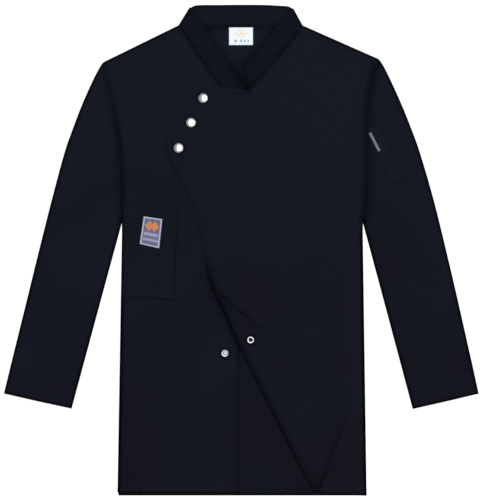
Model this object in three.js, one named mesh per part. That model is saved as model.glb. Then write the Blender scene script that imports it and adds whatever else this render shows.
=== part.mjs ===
// A chef jacket laid flat on a table, front up, with the lower corner of its over front turned back.
// Millimetres. X points to the wearer's left, Y from the hem to the collar and Z up from the table.
// "Right" and "left" are the wearer's, so the right front lies under and the left front over it.

import * as THREE from 'three';
import { mergeVertices } from 'three/addons/utils/BufferGeometryUtils.js';

const { lerp, smoothstep, degToRad } = THREE.MathUtils;

// Cloth and seams
const CLOTH = 1.0;
const COLLAR_CLOTH = 1.4;
const LABEL_CLOTH = 1.0;
const SEAM_GAP = 0.3;
const LAYER_GAP = 0.6;

// Height of the middle of each layer above the table
const BACK_LEVEL = CLOTH / 2;
const FRONT_LEVEL = BACK_LEVEL + CLOTH + SEAM_GAP;
const OVERLAP_RISE = COLLAR_CLOTH + SEAM_GAP;
const BODY_PUFF = 2.0;
const SLEEVE_PUFF = 2.0;
const HEM_PUFF_SHARE = 0.3;

// Body
const HEM_Y = -416;
const UNDER_HEM_Y = -411;
const FRONT_EDGE_X = -3.9;
const FRONT_EDGE_TOP = 251;
const OVERLAP_FROM = 11;
const OVERLAP_TO = 34;
const SHOULDER_SEAM_DROP = 9.5;
const SHOULDER_Y = 381;
const SHOULDER_SLOPE = 0.469;
const NECK_HALF_WIDTH = 105;
const CHEST_HALF_WIDTH = 205;
const HEM_PUFF_REACH = 1.4 * CHEST_HALF_WIDTH;
const SIDE_TURN_BELOW_ARMPIT = 19;

// The panels' steps along and across
const SIDE_STEPS = 9;
const ARMHOLE_STEPS = 8;
const SHOULDER_STEPS = 5;
const NECK_STEPS = 6;
const BACK_NECK_STEPS = 8;
const SLEEVE_STEPS = 12;
const COLLAR_ACROSS = 3;
const SNAP_EDGE_STEPS = 3;
const TOP_EDGE_STEPS = 3;

// The armhole's curve fades out over this share of the sleeve, and its ease gathers near the armpit
const ARMHOLE_FADE = 0.5;
const ARMPIT_EASE = 6;

// Points closer than this are one
const SAME_PLACE = 0.005;

// Folds: the half turn at a shoulder, sleeve or collar fold, and the side seam's quarter turn
const HALF_TURN = [45, 90, 135, 180].map(degToRad);
const QUARTER_TURN = [30, 60, 90].map(degToRad);
const FOLD_RADIUS = (FRONT_LEVEL - BACK_LEVEL) / 2;
const FOLD_INSET = FOLD_RADIUS + CLOTH / 2;
const SIDE_RADIUS = FRONT_LEVEL - BACK_LEVEL;
const SIDE_INSET = SIDE_RADIUS + CLOTH / 2;
const BACK_SIDE_INSET = 1.6;
const NECK_CLEARANCE = 0.9;

// The turned-back corner: its fold line from the front edge to the hem, and how far it reaches
const FLAP_FOLD_TOP = { x: -51.5, y: -59.2 };
const FLAP_FOLD_HEM = { x: 124.4, y: -407.7 };
const FLAP_RADIUS = 1.5;
const FLAP_REACH = FLAP_RADIUS + CLOTH / 2;
const FLAP_SETTLE = 50;
const FLAP_TURN = [0, 30, 60, 90, 120, 150, 180].map(degToRad);
const FLAP_ACROSS = 5;
const FREE_EDGE_STEPS = 8;
const FLAP = [
  { along: 0, across: 0 },
  { along: 30, across: 11.5 },
  { along: 58, across: 24 },
  { along: 96, across: 39.5 },
  { along: 135, across: 56 },
  { along: 191, across: 81 },
  { along: 230, across: 104.5 },
  { along: 262, across: 124 },
  { along: 277, across: 128.5 },
  { along: 302, across: 104.5 },
  { along: 328, across: 76 },
  { along: 354, across: 47.5 },
  { along: 382, across: 18 },
  { along: 392, across: 7 },
];

// Seam of each sleeve, from the shoulder tip to the armpit
const ARMHOLE = [
  { rightX: -233.0, rightY: 319.3, leftX: 232.6, leftY: 323.4 },
  { rightX: -224.6, rightY: 282.2, leftX: 222.5, leftY: 294.0 },
  { rightX: -214.7, rightY: 234.8, leftX: 214.8, leftY: 248.5 },
  { rightX: -205.0, rightY: 178.8, leftX: 212.8, leftY: 195.8 },
  { rightX: -202.1, rightY: 122.7, leftX: 213.2, leftY: 136.3 },
  { rightX: -202.0, rightY: 85.0, leftX: 212.0, leftY: 80.0 },
  { rightX: -202.5, rightY: 50.5, leftX: 206.2, leftY: 50.5 },
];

// Outer fold of each sleeve, from the shoulder tip to the cuff
const SLEEVE_FOLD = [
  { rightX: -233.4, rightY: 319.1, leftX: 232.9, leftY: 323.5 },
  { rightX: -253.0, rightY: 285.9, leftX: 254.7, leftY: 285.9 },
  { rightX: -271.1, rightY: 245.1, leftX: 273.0, leftY: 245.1 },
  { rightX: -286.6, rightY: 204.3, leftX: 289.3, leftY: 204.3 },
  { rightX: -300.6, rightY: 163.5, leftX: 303.8, leftY: 163.5 },
  { rightX: -322.5, rightY: 81.9, leftX: 327.4, leftY: 81.9 },
  { rightX: -353.1, rightY: -40.5, leftX: 357.0, leftY: -40.5 },
  { rightX: -400.0, rightY: -240.0, leftX: 400.5, leftY: -240.2 },
];

// Collar: each row is one line across it, from the neck seam to the free edge.
// The first row of each end is the side fold, and the last is where the collar stops in front.
const COLLAR_RIGHT = [
  { seamX: -105.9, seamY: 381.1, edgeX: -86.7, edgeY: 412.1 },
  { seamX: -100.3, seamY: 373.0, edgeX: -73.1, edgeY: 398.3 },
  { seamX: -91.5, seamY: 359.4, edgeX: -62.4, edgeY: 381.3 },
  { seamX: -79.6, seamY: 340.0, edgeX: -50.1, edgeY: 363.5 },
  { seamX: -64.8, seamY: 318.1, edgeX: -35.2, edgeY: 341.0 },
  { seamX: -49.8, seamY: 297.3, edgeX: -20.9, edgeY: 317.7 },
  { seamX: -33.1, seamY: 277.8, edgeX: -5.6, edgeY: 296.0 },
  { seamX: -19.2, seamY: 260.4, edgeX: 9.0, edgeY: 278.3 },
];
const COLLAR_LEFT = [
  { seamX: 104.0, seamY: 381.1, edgeX: 86.2, edgeY: 409.9 },
  { seamX: 99.5, seamY: 373.5, edgeX: 74.3, edgeY: 402.6 },
  { seamX: 89.6, seamY: 360.5, edgeX: 63.1, edgeY: 386.2 },
  { seamX: 74.3, seamY: 341.7, edgeX: 48.8, edgeY: 368.0 },
  { seamX: 58.1, seamY: 322.1, edgeX: 33.5, edgeY: 348.0 },
  { seamX: 40.3, seamY: 302.6, edgeX: 19.9, edgeY: 330.5 },
  { seamX: 25.0, seamY: 285.9, edgeX: 9.6, edgeY: 318.4 },
  { seamX: 12.9, seamY: 270.6, edgeX: 4.0, edgeY: 312.5 },
];
const COLLAR_BACK = [
  { seamX: -96.6, seamY: 379.2, edgeX: -78.5, edgeY: 415.6 },
  { seamX: -77.0, seamY: 378.6, edgeX: -65.1, edgeY: 416.7 },
  { seamX: -44.7, seamY: 379.2, edgeX: -41.3, edgeY: 416.7 },
  { seamX: -0.5, seamY: 380.1, edgeX: -0.5, edgeY: 416.3 },
  { seamX: 42.0, seamY: 379.5, edgeX: 40.3, edgeY: 416.0 },
  { seamX: 76.0, seamY: 378.8, edgeX: 65.8, edgeY: 415.0 },
  { seamX: 94.7, seamY: 379.4, edgeX: 78.5, edgeY: 413.2 },
];
const COLLAR_SETTLE = 60;

// Cut edge of the over front from the top of the flap's fold to the corner below the snaps
const OVER_EDGE = [
  { x: -54.9, y: -43.4 },
  { x: -60.5, y: -11.6 },
  { x: -70.2, y: 34.3 },
  { x: -80.5, y: 70.7 },
  { x: -93.7, y: 100.0 },
  { x: -108.1, y: 129.0 },
  { x: -122.4, y: 159.1 },
  { x: -128.0, y: 172.9 },
  { x: -127.2, y: 182.9 },
];
const OVER_TOP_EDGE = [
  { x: -77.0, y: 281.7 },
  { x: -32.8, y: 277.4 },
];

// Patches and labels, by their corners: top right-hand, top left-hand, then round below
const HIP_POCKET = {
  corners: [{ x: -200.9, y: 79.7 }, { x: -106.4, y: 71.7 }, { x: -113.6, y: -85.2 }, { x: -203.6, y: -78.7 }],
  steps: { across: 4, along: 6 },
};
const POCKET_LABEL = {
  corners: [{ x: -165.6, y: 57.5 }, { x: -134.0, y: 52.7 }, { x: -139.4, y: 3.2 }, { x: -172.5, y: 10.7 }],
  steps: { across: 2, along: 3 },
};
const PEN_POCKET = {
  corners: [{ x: 214.6, y: 206.0 }, { x: 239.5, y: 214.0 }, { x: 281.0, y: 124.4 }, { x: 256.0, y: 117.2 }],
  steps: { across: 2, along: 5 },
};
const SLEEVE_LABEL = {
  corners: [{ x: 219.0, y: 198.3 }, { x: 223.0, y: 200.5 }, { x: 239.2, y: 169.4 }, { x: 235.2, y: 167.2 }],
  steps: { across: 1, along: 3 },
};
const NECK_LABEL = {
  corners: [{ x: -20.7, y: 377.6 }, { x: 19.7, y: 377.6 }, { x: 19.7, y: 348.5 }, { x: -20.7, y: 348.5 }],
  steps: { across: 2, along: 2 },
};

// Snaps
const SNAP_CAPS = [
  { x: -65.1, y: 259.4 },
  { x: -85.5, y: 217.6 },
  { x: -106.4, y: 174.1 },
];
const SNAP_STUD = { x: -27.7, y: -174.8 };
const SNAP_SOCKET = { x: 14.8, y: -152.7 };
const SNAP_SIDES = 24;
const CAP_PROFILE = [
  { radius: 0, height: 0 },
  { radius: 8.1, height: 0 },
  { radius: 8.5, height: 0.6 },
  { radius: 7.6, height: 1.9 },
  { radius: 4.6, height: 2.9 },
  { radius: 0, height: 3.3 },
];
const STUD_PROFILE = [
  { radius: 0, height: 0 },
  { radius: 7.0, height: 0 },
  { radius: 7.0, height: 1.0 },
  { radius: 5.8, height: 1.6 },
  { radius: 3.9, height: 1.0 },
  { radius: 2.3, height: 1.2 },
  { radius: 2.7, height: 3.2 },
  { radius: 1.8, height: 4.0 },
  { radius: 0, height: 4.1 },
];
const SOCKET_PROFILE = [
  { radius: 0, height: 0 },
  { radius: 7.0, height: 0 },
  { radius: 7.0, height: 1.0 },
  { radius: 6.0, height: 2.4 },
  { radius: 4.2, height: 2.6 },
  { radius: 2.8, height: 2.2 },
  { radius: 2.5, height: 0.8 },
  { radius: 0, height: 0.7 },
];

// Colours and finish
const NAVY = { color: 0x171b22, roughness: 0.9, metalness: 0 };
const NAVY_COLLAR = { color: 0x14171d, roughness: 0.9, metalness: 0 };
const NAVY_POCKET = { color: 0x181c24, roughness: 0.9, metalness: 0 };
const LABEL_LILAC = { color: 0xb9bdd2, roughness: 0.8, metalness: 0 };
const LABEL_GREY = { color: 0x78788f, roughness: 0.8, metalness: 0 };
const LABEL_WHITE = { color: 0xf0f4f5, roughness: 0.8, metalness: 0 };
const SILVER = { color: 0xc9cbcf, roughness: 0.25, metalness: 1 };

const plan = ({ x, y }) => new THREE.Vector2(x, y);
const raised = (point, z) => new THREE.Vector3(point.x, point.y, z);

// The two sides of the body, read from the tables
const SIDES = {
  right: {
    outward: -1,
    hemX: -210.5,
    cuff: plan({ x: -289.8, y: -267.0 }),
    armhole: ARMHOLE.map((row) => plan({ x: row.rightX, y: row.rightY })),
    sleeveFold: SLEEVE_FOLD.map((row) => plan({ x: row.rightX, y: row.rightY })),
    collar: COLLAR_RIGHT,
  },
  left: {
    outward: 1,
    hemX: 213.0,
    cuff: plan({ x: 292.7, y: -267.6 }),
    armhole: ARMHOLE.map((row) => plan({ x: row.leftX, y: row.leftY })),
    sleeveFold: SLEEVE_FOLD.map((row) => plan({ x: row.leftX, y: row.leftY })),
    collar: COLLAR_LEFT,
  },
};

// Heights

// How far the front layers stand clear of the back panel: most in the middle, nothing at a seam.
function bodyPuff({ x, y }) {
  const shoulder = SHOULDER_Y - SHOULDER_SLOPE * Math.max(0, Math.abs(x) - NECK_HALF_WIDTH);
  const fromSide = smoothstep(CHEST_HALF_WIDTH - Math.abs(x), 0, CHEST_HALF_WIDTH);
  const fromShoulder = smoothstep(shoulder - y, 0, CHEST_HALF_WIDTH);
  const fromHem = smoothstep(y - HEM_Y, 0, HEM_PUFF_REACH);
  return BODY_PUFF * fromSide * fromShoulder * lerp(HEM_PUFF_SHARE, 1, fromHem);
}

const overlapRise = ({ x }) => OVERLAP_RISE * (1 - smoothstep(x, OVERLAP_FROM, OVERLAP_TO));
const underFrontHeight = (point) => FRONT_LEVEL + bodyPuff(point);
const overFrontHeight = (point) => underFrontHeight(point) + overlapRise(point);

// Paths in plan

// Points along part of a smooth curve, from one share of its length to another.
function along(points, steps, from = 0, to = 1) {
  const curve = new THREE.SplineCurve(points);
  return Array.from({ length: steps + 1 }, (_, i) => curve.getPointAt(lerp(from, to, i / steps)));
}

// The direction square to a path at one of its points, to its right as it runs, at a given length.
function squareTo(points, i, length) {
  const run = points[Math.min(i + 1, points.length - 1)].clone().sub(points[Math.max(i - 1, 0)]);
  return plan({ x: run.y, y: -run.x }).setLength(length);
}

// A path moved sideways, to its right as it runs.
const shifted = (points, distance) => points
  .map((point, i) => point.clone().add(squareTo(points, i, distance)));

const joined = (...paths) => paths.reduce((whole, path) => whole.concat(path.slice(1)));

// Shares of the length of two facing edges, averaged, at each of their points.
function fractions(edge, facing) {
  const lengths = [edge, facing].map((points) => {
    const sums = [0];
    points.slice(1).forEach((point, i) => sums.push(sums[i] + point.distanceTo(points[i])));
    return sums;
  });
  return edge.map((_, i) => (lengths[0][i] / lengths[0].at(-1) + lengths[1][i] / lengths[1].at(-1)) / 2);
}

// Rows of points that fill the four edges of a panel.
function fillEdges({ bottom, top, start, end }) {
  const across = fractions(bottom, top);
  return fractions(start, end).map((v, row) => across.map((u, column) => {
    const point = start[row].clone().lerp(end[row], u);
    point.add(bottom[column].clone().lerp(top[column], v));
    const low = bottom[0].clone().lerp(bottom.at(-1), u);
    return point.sub(low.lerp(top[0].clone().lerp(top.at(-1), u), v));
  }));
}

// Sheets and walls

// A sheet of triangles over rows of points, with points at one place made one.
function sheetOf(...patches) {
  const points = [];
  const known = new Map();
  const indexOf = (point) => {
    const key = point.toArray().map((value) => Math.round(value / SAME_PLACE)).join();
    if (!known.has(key)) known.set(key, points.push(point) - 1);
    return known.get(key);
  };
  const triangles = [];
  const addTriangle = (...corners) => {
    const indices = corners.map(indexOf);
    if (new Set(indices).size === 3) triangles.push(indices);
  };
  for (const rows of patches) {
    for (let row = 0; row + 1 < rows.length; row += 1) {
      for (let column = 0; column + 1 < rows[row].length; column += 1) {
        const low = rows[row];
        const high = rows[row + 1];
        addTriangle(low[column], low[column + 1], high[column + 1]);
        addTriangle(low[column], high[column + 1], high[column]);
      }
    }
  }
  return { points, triangles };
}

// The direction square to the sheet at each point, each triangle counting by its corner's angle.
function sheetNormals({ points, triangles }) {
  const normals = points.map(() => new THREE.Vector3());
  for (const triangle of triangles) {
    const corners = triangle.map((index) => points[index]);
    const face = new THREE.Triangle(...corners).getNormal(new THREE.Vector3());
    triangle.forEach((index, i) => {
      const next = corners[(i + 1) % 3].clone().sub(corners[i]);
      const previous = corners[(i + 2) % 3].clone().sub(corners[i]);
      normals[index].addScaledVector(face, next.angleTo(previous));
    });
  }
  return normals.map((normal) => normal.normalize());
}

// A closed cloth wall: the sheet moved half its thickness to each side and joined at its open edges.
function wall(sheet, thickness) {
  const normals = sheetNormals(sheet);
  const count = sheet.points.length;
  const positions = [];
  for (const side of [thickness / 2, -thickness / 2]) {
    sheet.points.forEach((point, i) => {
      positions.push(...point.clone().addScaledVector(normals[i], side).toArray());
    });
  }
  const indices = [];
  const edges = new Map();
  for (const [a, b, c] of sheet.triangles) {
    indices.push(a, b, c, count + a, count + c, count + b);
    for (const [from, to] of [[a, b], [b, c], [c, a]]) edges.set(`${from},${to}`, [from, to]);
  }
  for (const [from, to] of edges.values()) {
    if (edges.has(`${to},${from}`)) continue;
    indices.push(to, from, count + from, to, count + from, count + to);
  }
  const geometry = new THREE.BufferGeometry();
  geometry.setAttribute('position', new THREE.Float32BufferAttribute(positions, 3));
  geometry.setIndex(indices);
  return geometry;
}

// Height of a sheet's uppermost layer at a place in plan.
function heightOn({ points, triangles }, place) {
  const target = raised(place, 0);
  const heights = triangles.map((triangle) => {
    const corners = triangle.map((index) => raised(points[index], 0));
    const face = new THREE.Triangle(...corners);
    if (face.getArea() === 0 || !face.containsPoint(target)) return -Infinity;
    const share = face.getBarycoord(target, new THREE.Vector3());
    return share.dot(new THREE.Vector3(...triangle.map((index) => points[index].z)));
  });
  return Math.max(...heights);
}

// Body panels

const armholePoints = (side) => along(side.armhole, ARMHOLE_STEPS);
const seamPath = (rows) => rows.map((row) => plan({ x: row.seamX, y: row.seamY }));

// The shoulder seam lies on the front: its line, and where it meets the neck seam and the armhole.
function shoulderSeam(side) {
  const neck = new THREE.SplineCurve(seamPath(side.collar));
  const armhole = new THREE.SplineCurve(side.armhole);
  const neckShare = SHOULDER_SEAM_DROP / neck.getLength();
  const armholeTop = armhole.getPointAt(SHOULDER_SEAM_DROP / armhole.getLength());
  return { line: along([armholeTop, neck.getPointAt(neckShare)], SHOULDER_STEPS), neckShare, armholeTop };
}

// A panel's edge up the side seam and the armhole. At each point it also gives the share of the
// side seam's turn that applies there: all of it below the armpit and none beside the sleeve.
function sideEdge(side, { hemY, inset, sideSteps, armholeTop }) {
  const armpit = side.armhole.at(-1);
  const turnEnd = armpit.y - SIDE_TURN_BELOW_ARMPIT;
  const seam = Array.from({ length: sideSteps }, (_, i) => {
    const y = lerp(hemY, turnEnd, i / (sideSteps - 1));
    const x = lerp(side.hemX, armpit.x, (y - HEM_Y) / (armpit.y - HEM_Y));
    return plan({ x: x - side.outward * inset, y });
  });
  const sleeveSeam = [...armholePoints(side).slice(1).reverse(), armholeTop]
    .map((point) => plan({ x: point.x - side.outward * SEAM_GAP / 2, y: point.y }));
  return { path: [...seam, ...sleeveSeam], shares: [...seam.map(() => 1), ...sleeveSeam.map(() => 0)] };
}

// The side seam's turn down to the table, outside the back panel's edge.
function sideTurn(edge, outward, share) {
  const turned = QUARTER_TURN.map((angle) => edge.clone().add(new THREE.Vector3(
    outward * share * SIDE_RADIUS * Math.sin(angle),
    0,
    share * SIDE_RADIUS * (Math.cos(angle) - 1),
  )));
  const foot = turned.at(-1).clone();
  foot.z -= share * BACK_LEVEL;
  return [...turned, foot];
}

// A front's edge along the neck seam, from the shoulder seam to the end of the collar.
function frontNeck(side) {
  const neck = along(seamPath(side.collar), NECK_STEPS, shoulderSeam(side).neckShare, 1);
  return shifted(neck, -side.outward * SEAM_GAP / 2);
}

const frontShoulder = (side) => shoulderSeam(side).line
  .map((point) => plan({ x: point.x, y: point.y - SEAM_GAP / 2 }));

function rightFrontSheet() {
  const side = SIDES.right;
  const { armholeTop } = shoulderSeam(side);
  const { path: start, shares } = sideEdge(side, {
    hemY: UNDER_HEM_Y, inset: SIDE_INSET, sideSteps: SIDE_STEPS, armholeTop,
  });
  const neck = frontNeck(side);
  const frontTop = plan({ x: FRONT_EDGE_X, y: FRONT_EDGE_TOP });
  const frontHem = plan({ x: FRONT_EDGE_X, y: UNDER_HEM_Y });
  const top = joined(frontShoulder(side), neck, along([neck.at(-1), frontTop], 1));
  start.at(-1).copy(top[0]);
  const bottom = along([start[0], frontHem], top.length - 1);
  const end = along([frontHem, frontTop], start.length - 1);
  return sheetOf(fillEdges({ bottom, top, start, end }).map((row, i) => {
    const flat = row.map((point) => raised(point, underFrontHeight(point)));
    return [...sideTurn(flat[0], side.outward, shares[i]).reverse(), ...flat];
  }));
}

// The flap's fold: where its axis lies, how it runs and which way is across the flap.
const foldStart = plan(FLAP_FOLD_TOP);
const foldRun = plan(FLAP_FOLD_HEM).sub(foldStart).normalize();
const foldAcross = plan({ x: -foldRun.y, y: foldRun.x });
const foldAxis = (distance) => foldStart.clone()
  .addScaledVector(foldRun, distance)
  .addScaledVector(foldAcross, FLAP_REACH);

// One row of the flap: round the fold, then over the front to the flap's edge.
function flapRow({ along: distance, across }) {
  const axis = foldAxis(distance);
  const turned = Math.min(1, across / FLAP_REACH);
  const base = overFrontHeight(axis);
  const roll = FLAP_TURN.map((angle) => {
    const point = axis.clone().addScaledVector(foldAcross, -FLAP_RADIUS * Math.sin(angle * turned));
    return raised(point, base + FLAP_RADIUS * (1 - Math.cos(angle * turned)));
  });
  const flat = Array.from({ length: FLAP_ACROSS }, (_, i) => {
    if (turned < 1) return roll.at(-1);
    const out = (across - FLAP_REACH) * (i + 1) / FLAP_ACROSS;
    const point = axis.clone().addScaledVector(foldAcross, out);
    const lift = lerp(2 * FLAP_RADIUS, CLOTH + LAYER_GAP, smoothstep(out, 0, FLAP_SETTLE));
    return raised(point, overFrontHeight(point) + lift);
  });
  return [...roll, ...flat];
}

function leftFrontSheet() {
  const side = SIDES.left;
  const neck = frontNeck(side).reverse();
  const snapEdge = along([plan(OVER_EDGE.at(-1)), plan(OVER_TOP_EDGE[0])], SNAP_EDGE_STEPS);
  const topEdge = along([...OVER_TOP_EDGE.map(plan), neck[0]], TOP_EDGE_STEPS);
  const top = joined(snapEdge, topEdge, neck, frontShoulder(side).reverse());
  const foldRows = FLAP.map((row) => foldAxis(row.along)).reverse();
  const start = joined(foldRows, along([foldRows.at(-1), ...OVER_EDGE.map(plan)], FREE_EDGE_STEPS));
  const { path: end, shares } = sideEdge(side, {
    hemY: HEM_Y,
    inset: SIDE_INSET,
    sideSteps: start.length - ARMHOLE_STEPS - 1,
    armholeTop: shoulderSeam(side).armholeTop,
  });
  end.at(-1).copy(top.at(-1));
  const bottom = along([start[0], end[0]], top.length - 1);
  const body = fillEdges({ bottom, top, start, end }).map((row, i) => {
    const flat = row.map((point) => raised(point, overFrontHeight(point)));
    return [...flat, ...sideTurn(flat.at(-1), side.outward, shares[i])];
  });
  return sheetOf(body, FLAP.map(flapRow).map((row) => row.reverse()).reverse());
}

// The back, and its wrap over each shoulder fold to the shoulder seam.
function backSheet() {
  const folds = Object.values(SIDES).map((side) => {
    const [tip, neckPoint] = [side.armhole[0], plan({ x: side.collar[0].seamX, y: side.collar[0].seamY })];
    const line = along([tip, neckPoint], SHOULDER_STEPS);
    const inward = side.outward > 0 ? -FOLD_INSET : FOLD_INSET;
    const fold = shifted(line, inward);
    fold.at(-1).add(fold[0].clone().sub(fold.at(-1)).setLength(NECK_CLEARANCE));
    return { side, fold };
  });
  const [right, left] = folds;
  const neck = shifted(along(seamPath(COLLAR_BACK), BACK_NECK_STEPS), SEAM_GAP / 2);
  const top = [...right.fold, ...neck, ...left.fold.slice().reverse()];
  const edges = folds.map(({ side, fold }) => {
    const { path } = sideEdge(side, {
      hemY: HEM_Y, inset: BACK_SIDE_INSET, sideSteps: SIDE_STEPS, armholeTop: side.armhole[0],
    });
    path.at(-1).copy(fold[0]);
    return path;
  });
  const [start, end] = edges;
  const bottom = along([start[0], end[0]], top.length - 1);
  const body = fillEdges({ bottom, top, start, end })
    .map((row) => row.map((point) => raised(point, BACK_LEVEL)));
  const wraps = folds.map(({ side, fold }) => {
    const out = fold.at(-1).clone().sub(fold[0]).normalize();
    const outward = plan({ x: out.y, y: -out.x }).multiplyScalar(side.outward);
    const seam = shoulderSeam(side).line.map((point) => plan({ x: point.x, y: point.y + SEAM_GAP / 2 }));
    seam.at(-1).add(seam[0].clone().sub(seam.at(-1)).setLength(SEAM_GAP / 2));
    const rows = [
      fold.map((point) => raised(point, BACK_LEVEL)),
      ...HALF_TURN.map((angle) => fold.map((point) => raised(
        point.clone().addScaledVector(outward, FOLD_RADIUS * Math.sin(angle)),
        BACK_LEVEL + FOLD_RADIUS * (1 - Math.cos(angle)),
      ))),
      seam.map((point) => raised(point, FRONT_LEVEL)),
    ];
    return side.outward > 0 ? rows.map((row) => row.reverse()) : rows;
  });
  return sheetOf(body, ...wraps);
}

// Sleeves

// A flattened tube from the armhole to the cuff, in rings round the outer fold and the underarm.
function sleeveSheet(side) {
  const outer = along(side.sleeveFold, SLEEVE_STEPS);
  const inner = along([side.armhole.at(-1), side.cuff], SLEEVE_STEPS);
  const armhole = along(side.armhole, ARMHOLE_STEPS);
  const rings = outer.map((from, row) => {
    const to = inner[row];
    const run = to.clone().sub(from).normalize();
    const low = from.clone().addScaledVector(run, FOLD_INSET);
    const high = to.clone().addScaledVector(run, -FOLD_INSET);
    const bow = 1 - smoothstep(row, 0, SLEEVE_STEPS * ARMHOLE_FADE);
    const line = Array.from({ length: ARMHOLE_STEPS + 1 }, (_, i) => {
      const share = i / ARMHOLE_STEPS;
      const bulge = armhole[i].clone().sub(armhole[0].clone().lerp(armhole.at(-1), share));
      bulge.x += side.outward * lerp(SEAM_GAP / 2, SEAM_GAP + CLOTH / 2, share ** ARMPIT_EASE);
      return low.clone().lerp(high, share).addScaledVector(bulge, bow);
    });
    const swell = SLEEVE_PUFF * smoothstep(row, 0, SLEEVE_STEPS / 2);
    const topSide = line.map((point, i) => {
      const puff = swell * Math.sin(Math.PI * i / ARMHOLE_STEPS) ** 2;
      return raised(point, FRONT_LEVEL + puff);
    });
    const turn = (centre, outward, angles) => angles.map((angle) => raised(
      centre.clone().addScaledVector(outward, FOLD_RADIUS * Math.sin(angle)),
      BACK_LEVEL + FOLD_RADIUS * (1 + Math.cos(angle)),
    ));
    const underarm = turn(line.at(-1), run, HALF_TURN);
    const underSide = line.slice(0, -1).reverse().map((point) => raised(point, BACK_LEVEL));
    const outerFold = turn(line[0], run.clone().negate(), HALF_TURN.slice(0, -1)).reverse();
    return [...topSide, ...underarm, ...underSide, ...outerFold, topSide[0]];
  });
  return sheetOf(rings);
}

// Collar

// A band from the right end in front, round the side folds and the back, to the left end.
function collarSheet() {
  const middle = COLLAR_CLOTH / 2;
  const foot = CLOTH + SEAM_GAP;
  const foldLevel = 2 * middle + SEAM_GAP + middle;
  const lineOf = (row) => {
    const seam = plan({ x: row.seamX, y: row.seamY });
    const edge = plan({ x: row.edgeX, y: row.edgeY });
    const clear = edge.clone().sub(seam).setLength(SEAM_GAP / 2);
    return [seam.add(clear), edge];
  };
  const across = (line, height) => along(line, COLLAR_ACROSS).map((point) => raised(point, height(point)));
  const backRows = COLLAR_BACK.map((row) => across(lineOf(row), () => middle));
  const ends = Object.values(SIDES).map((side) => {
    const [fold, ...front] = side.collar;
    const [seam, edge] = lineOf(fold);
    const run = edge.clone().sub(seam).normalize();
    seam.addScaledVector(run, NECK_CLEARANCE);
    const outward = plan({ x: -run.y, y: run.x }).multiplyScalar(-side.outward);
    const radius = (foldLevel - middle) / 2;
    const axis = [seam, edge].map((point) => point.clone().addScaledVector(outward, -radius - middle));
    const turned = [0, ...HALF_TURN].map((angle) => across(
      axis.map((point) => point.clone().addScaledVector(outward, radius * Math.sin(angle))),
      () => middle + radius * (1 - Math.cos(angle)),
    ));
    const legs = front.map((row) => across(lineOf(row), (point) => {
      const settled = smoothstep(point.distanceTo(seam), 0, COLLAR_SETTLE);
      const laid = foot + middle + bodyPuff(point) + (side.outward > 0 ? overlapRise(point) : 0);
      return Math.max(laid, lerp(foldLevel, foot + middle, settled));
    }));
    return [...turned, ...legs];
  });
  const [right, left] = ends;
  return sheetOf([...right.reverse(), ...backRows, ...left]);
}

// Patches, labels and snaps

// A patch that lies on a panel, from that panel's own heights.
function patchOn(panel, { corners, steps }, thickness) {
  const [topRight, topLeft, lowLeft, lowRight] = corners.map(plan);
  const rows = along([lowRight, topRight], steps.along).map((from, row, all) => {
    const to = lowLeft.clone().lerp(topLeft, row / (all.length - 1));
    return along([from, to], steps.across)
      .map((point) => raised(point, heightOn(panel, point) + (CLOTH + thickness) / 2 + SEAM_GAP));
  });
  return sheetOf(rows);
}

// A round snap part, turned about its own axis and set on the cloth beneath it.
function snapOn(panel, place, profile) {
  const outline = profile.map(({ radius, height }) => new THREE.Vector2(radius, height));
  const turned = new THREE.LatheGeometry(outline, SNAP_SIDES).rotateX(Math.PI / 2);
  const rim = Math.max(...profile.map(({ radius }) => radius));
  const rests = [[0, 0], [rim, 0], [-rim, 0], [0, rim], [0, -rim]]
    .map(([x, y]) => heightOn(panel, plan({ x: place.x + x, y: place.y + y })));
  turned.translate(place.x, place.y, Math.max(...rests) + CLOTH / 2 + SEAM_GAP);
  return closed(turned);
}

// One closed body: shared corners made one, and the empty triangles at a turned shape's poles left out.
function closed(geometry) {
  geometry.deleteAttribute('normal');
  geometry.deleteAttribute('uv');
  const merged = mergeVertices(geometry);
  const index = merged.getIndex().array;
  const kept = [];
  for (let i = 0; i < index.length; i += 3) {
    const corners = [index[i], index[i + 1], index[i + 2]];
    if (new Set(corners).size === 3) kept.push(...corners);
  }
  merged.setIndex(kept);
  return merged;
}

// The jacket

const jacket = new THREE.Group();

function add(name, geometry, finish) {
  const mesh = new THREE.Mesh(geometry, new THREE.MeshStandardMaterial(finish));
  mesh.name = name;
  jacket.add(mesh);
}

const back = backSheet();
const rightFront = rightFrontSheet();
const leftFront = leftFrontSheet();
const leftSleeve = sleeveSheet(SIDES.left);
const hipPocket = patchOn(rightFront, HIP_POCKET, CLOTH);
const penPocket = patchOn(leftSleeve, PEN_POCKET, CLOTH);

add('back', wall(back, CLOTH), NAVY);
add('right_front', wall(rightFront, CLOTH), NAVY);
add('left_front', wall(leftFront, CLOTH), NAVY);
add('sleeve_right', wall(sleeveSheet(SIDES.right), CLOTH), NAVY);
add('sleeve_left', wall(leftSleeve, CLOTH), NAVY);
add('collar', wall(collarSheet(), COLLAR_CLOTH), NAVY_COLLAR);
add('hip_pocket', wall(hipPocket, CLOTH), NAVY_POCKET);
add('pen_pocket', wall(penPocket, CLOTH), NAVY_POCKET);
add('pocket_label', wall(patchOn(hipPocket, POCKET_LABEL, LABEL_CLOTH), LABEL_CLOTH), LABEL_LILAC);
add('sleeve_label', wall(patchOn(penPocket, SLEEVE_LABEL, LABEL_CLOTH), LABEL_CLOTH), LABEL_GREY);
add('neck_label', wall(patchOn(back, NECK_LABEL, LABEL_CLOTH), LABEL_CLOTH), LABEL_WHITE);
SNAP_CAPS.forEach((place, i) => add(`snap_cap_${i + 1}`, snapOn(leftFront, place, CAP_PROFILE), SILVER));
add('snap_stud', snapOn(rightFront, SNAP_STUD, STUD_PROFILE), SILVER);
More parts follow.
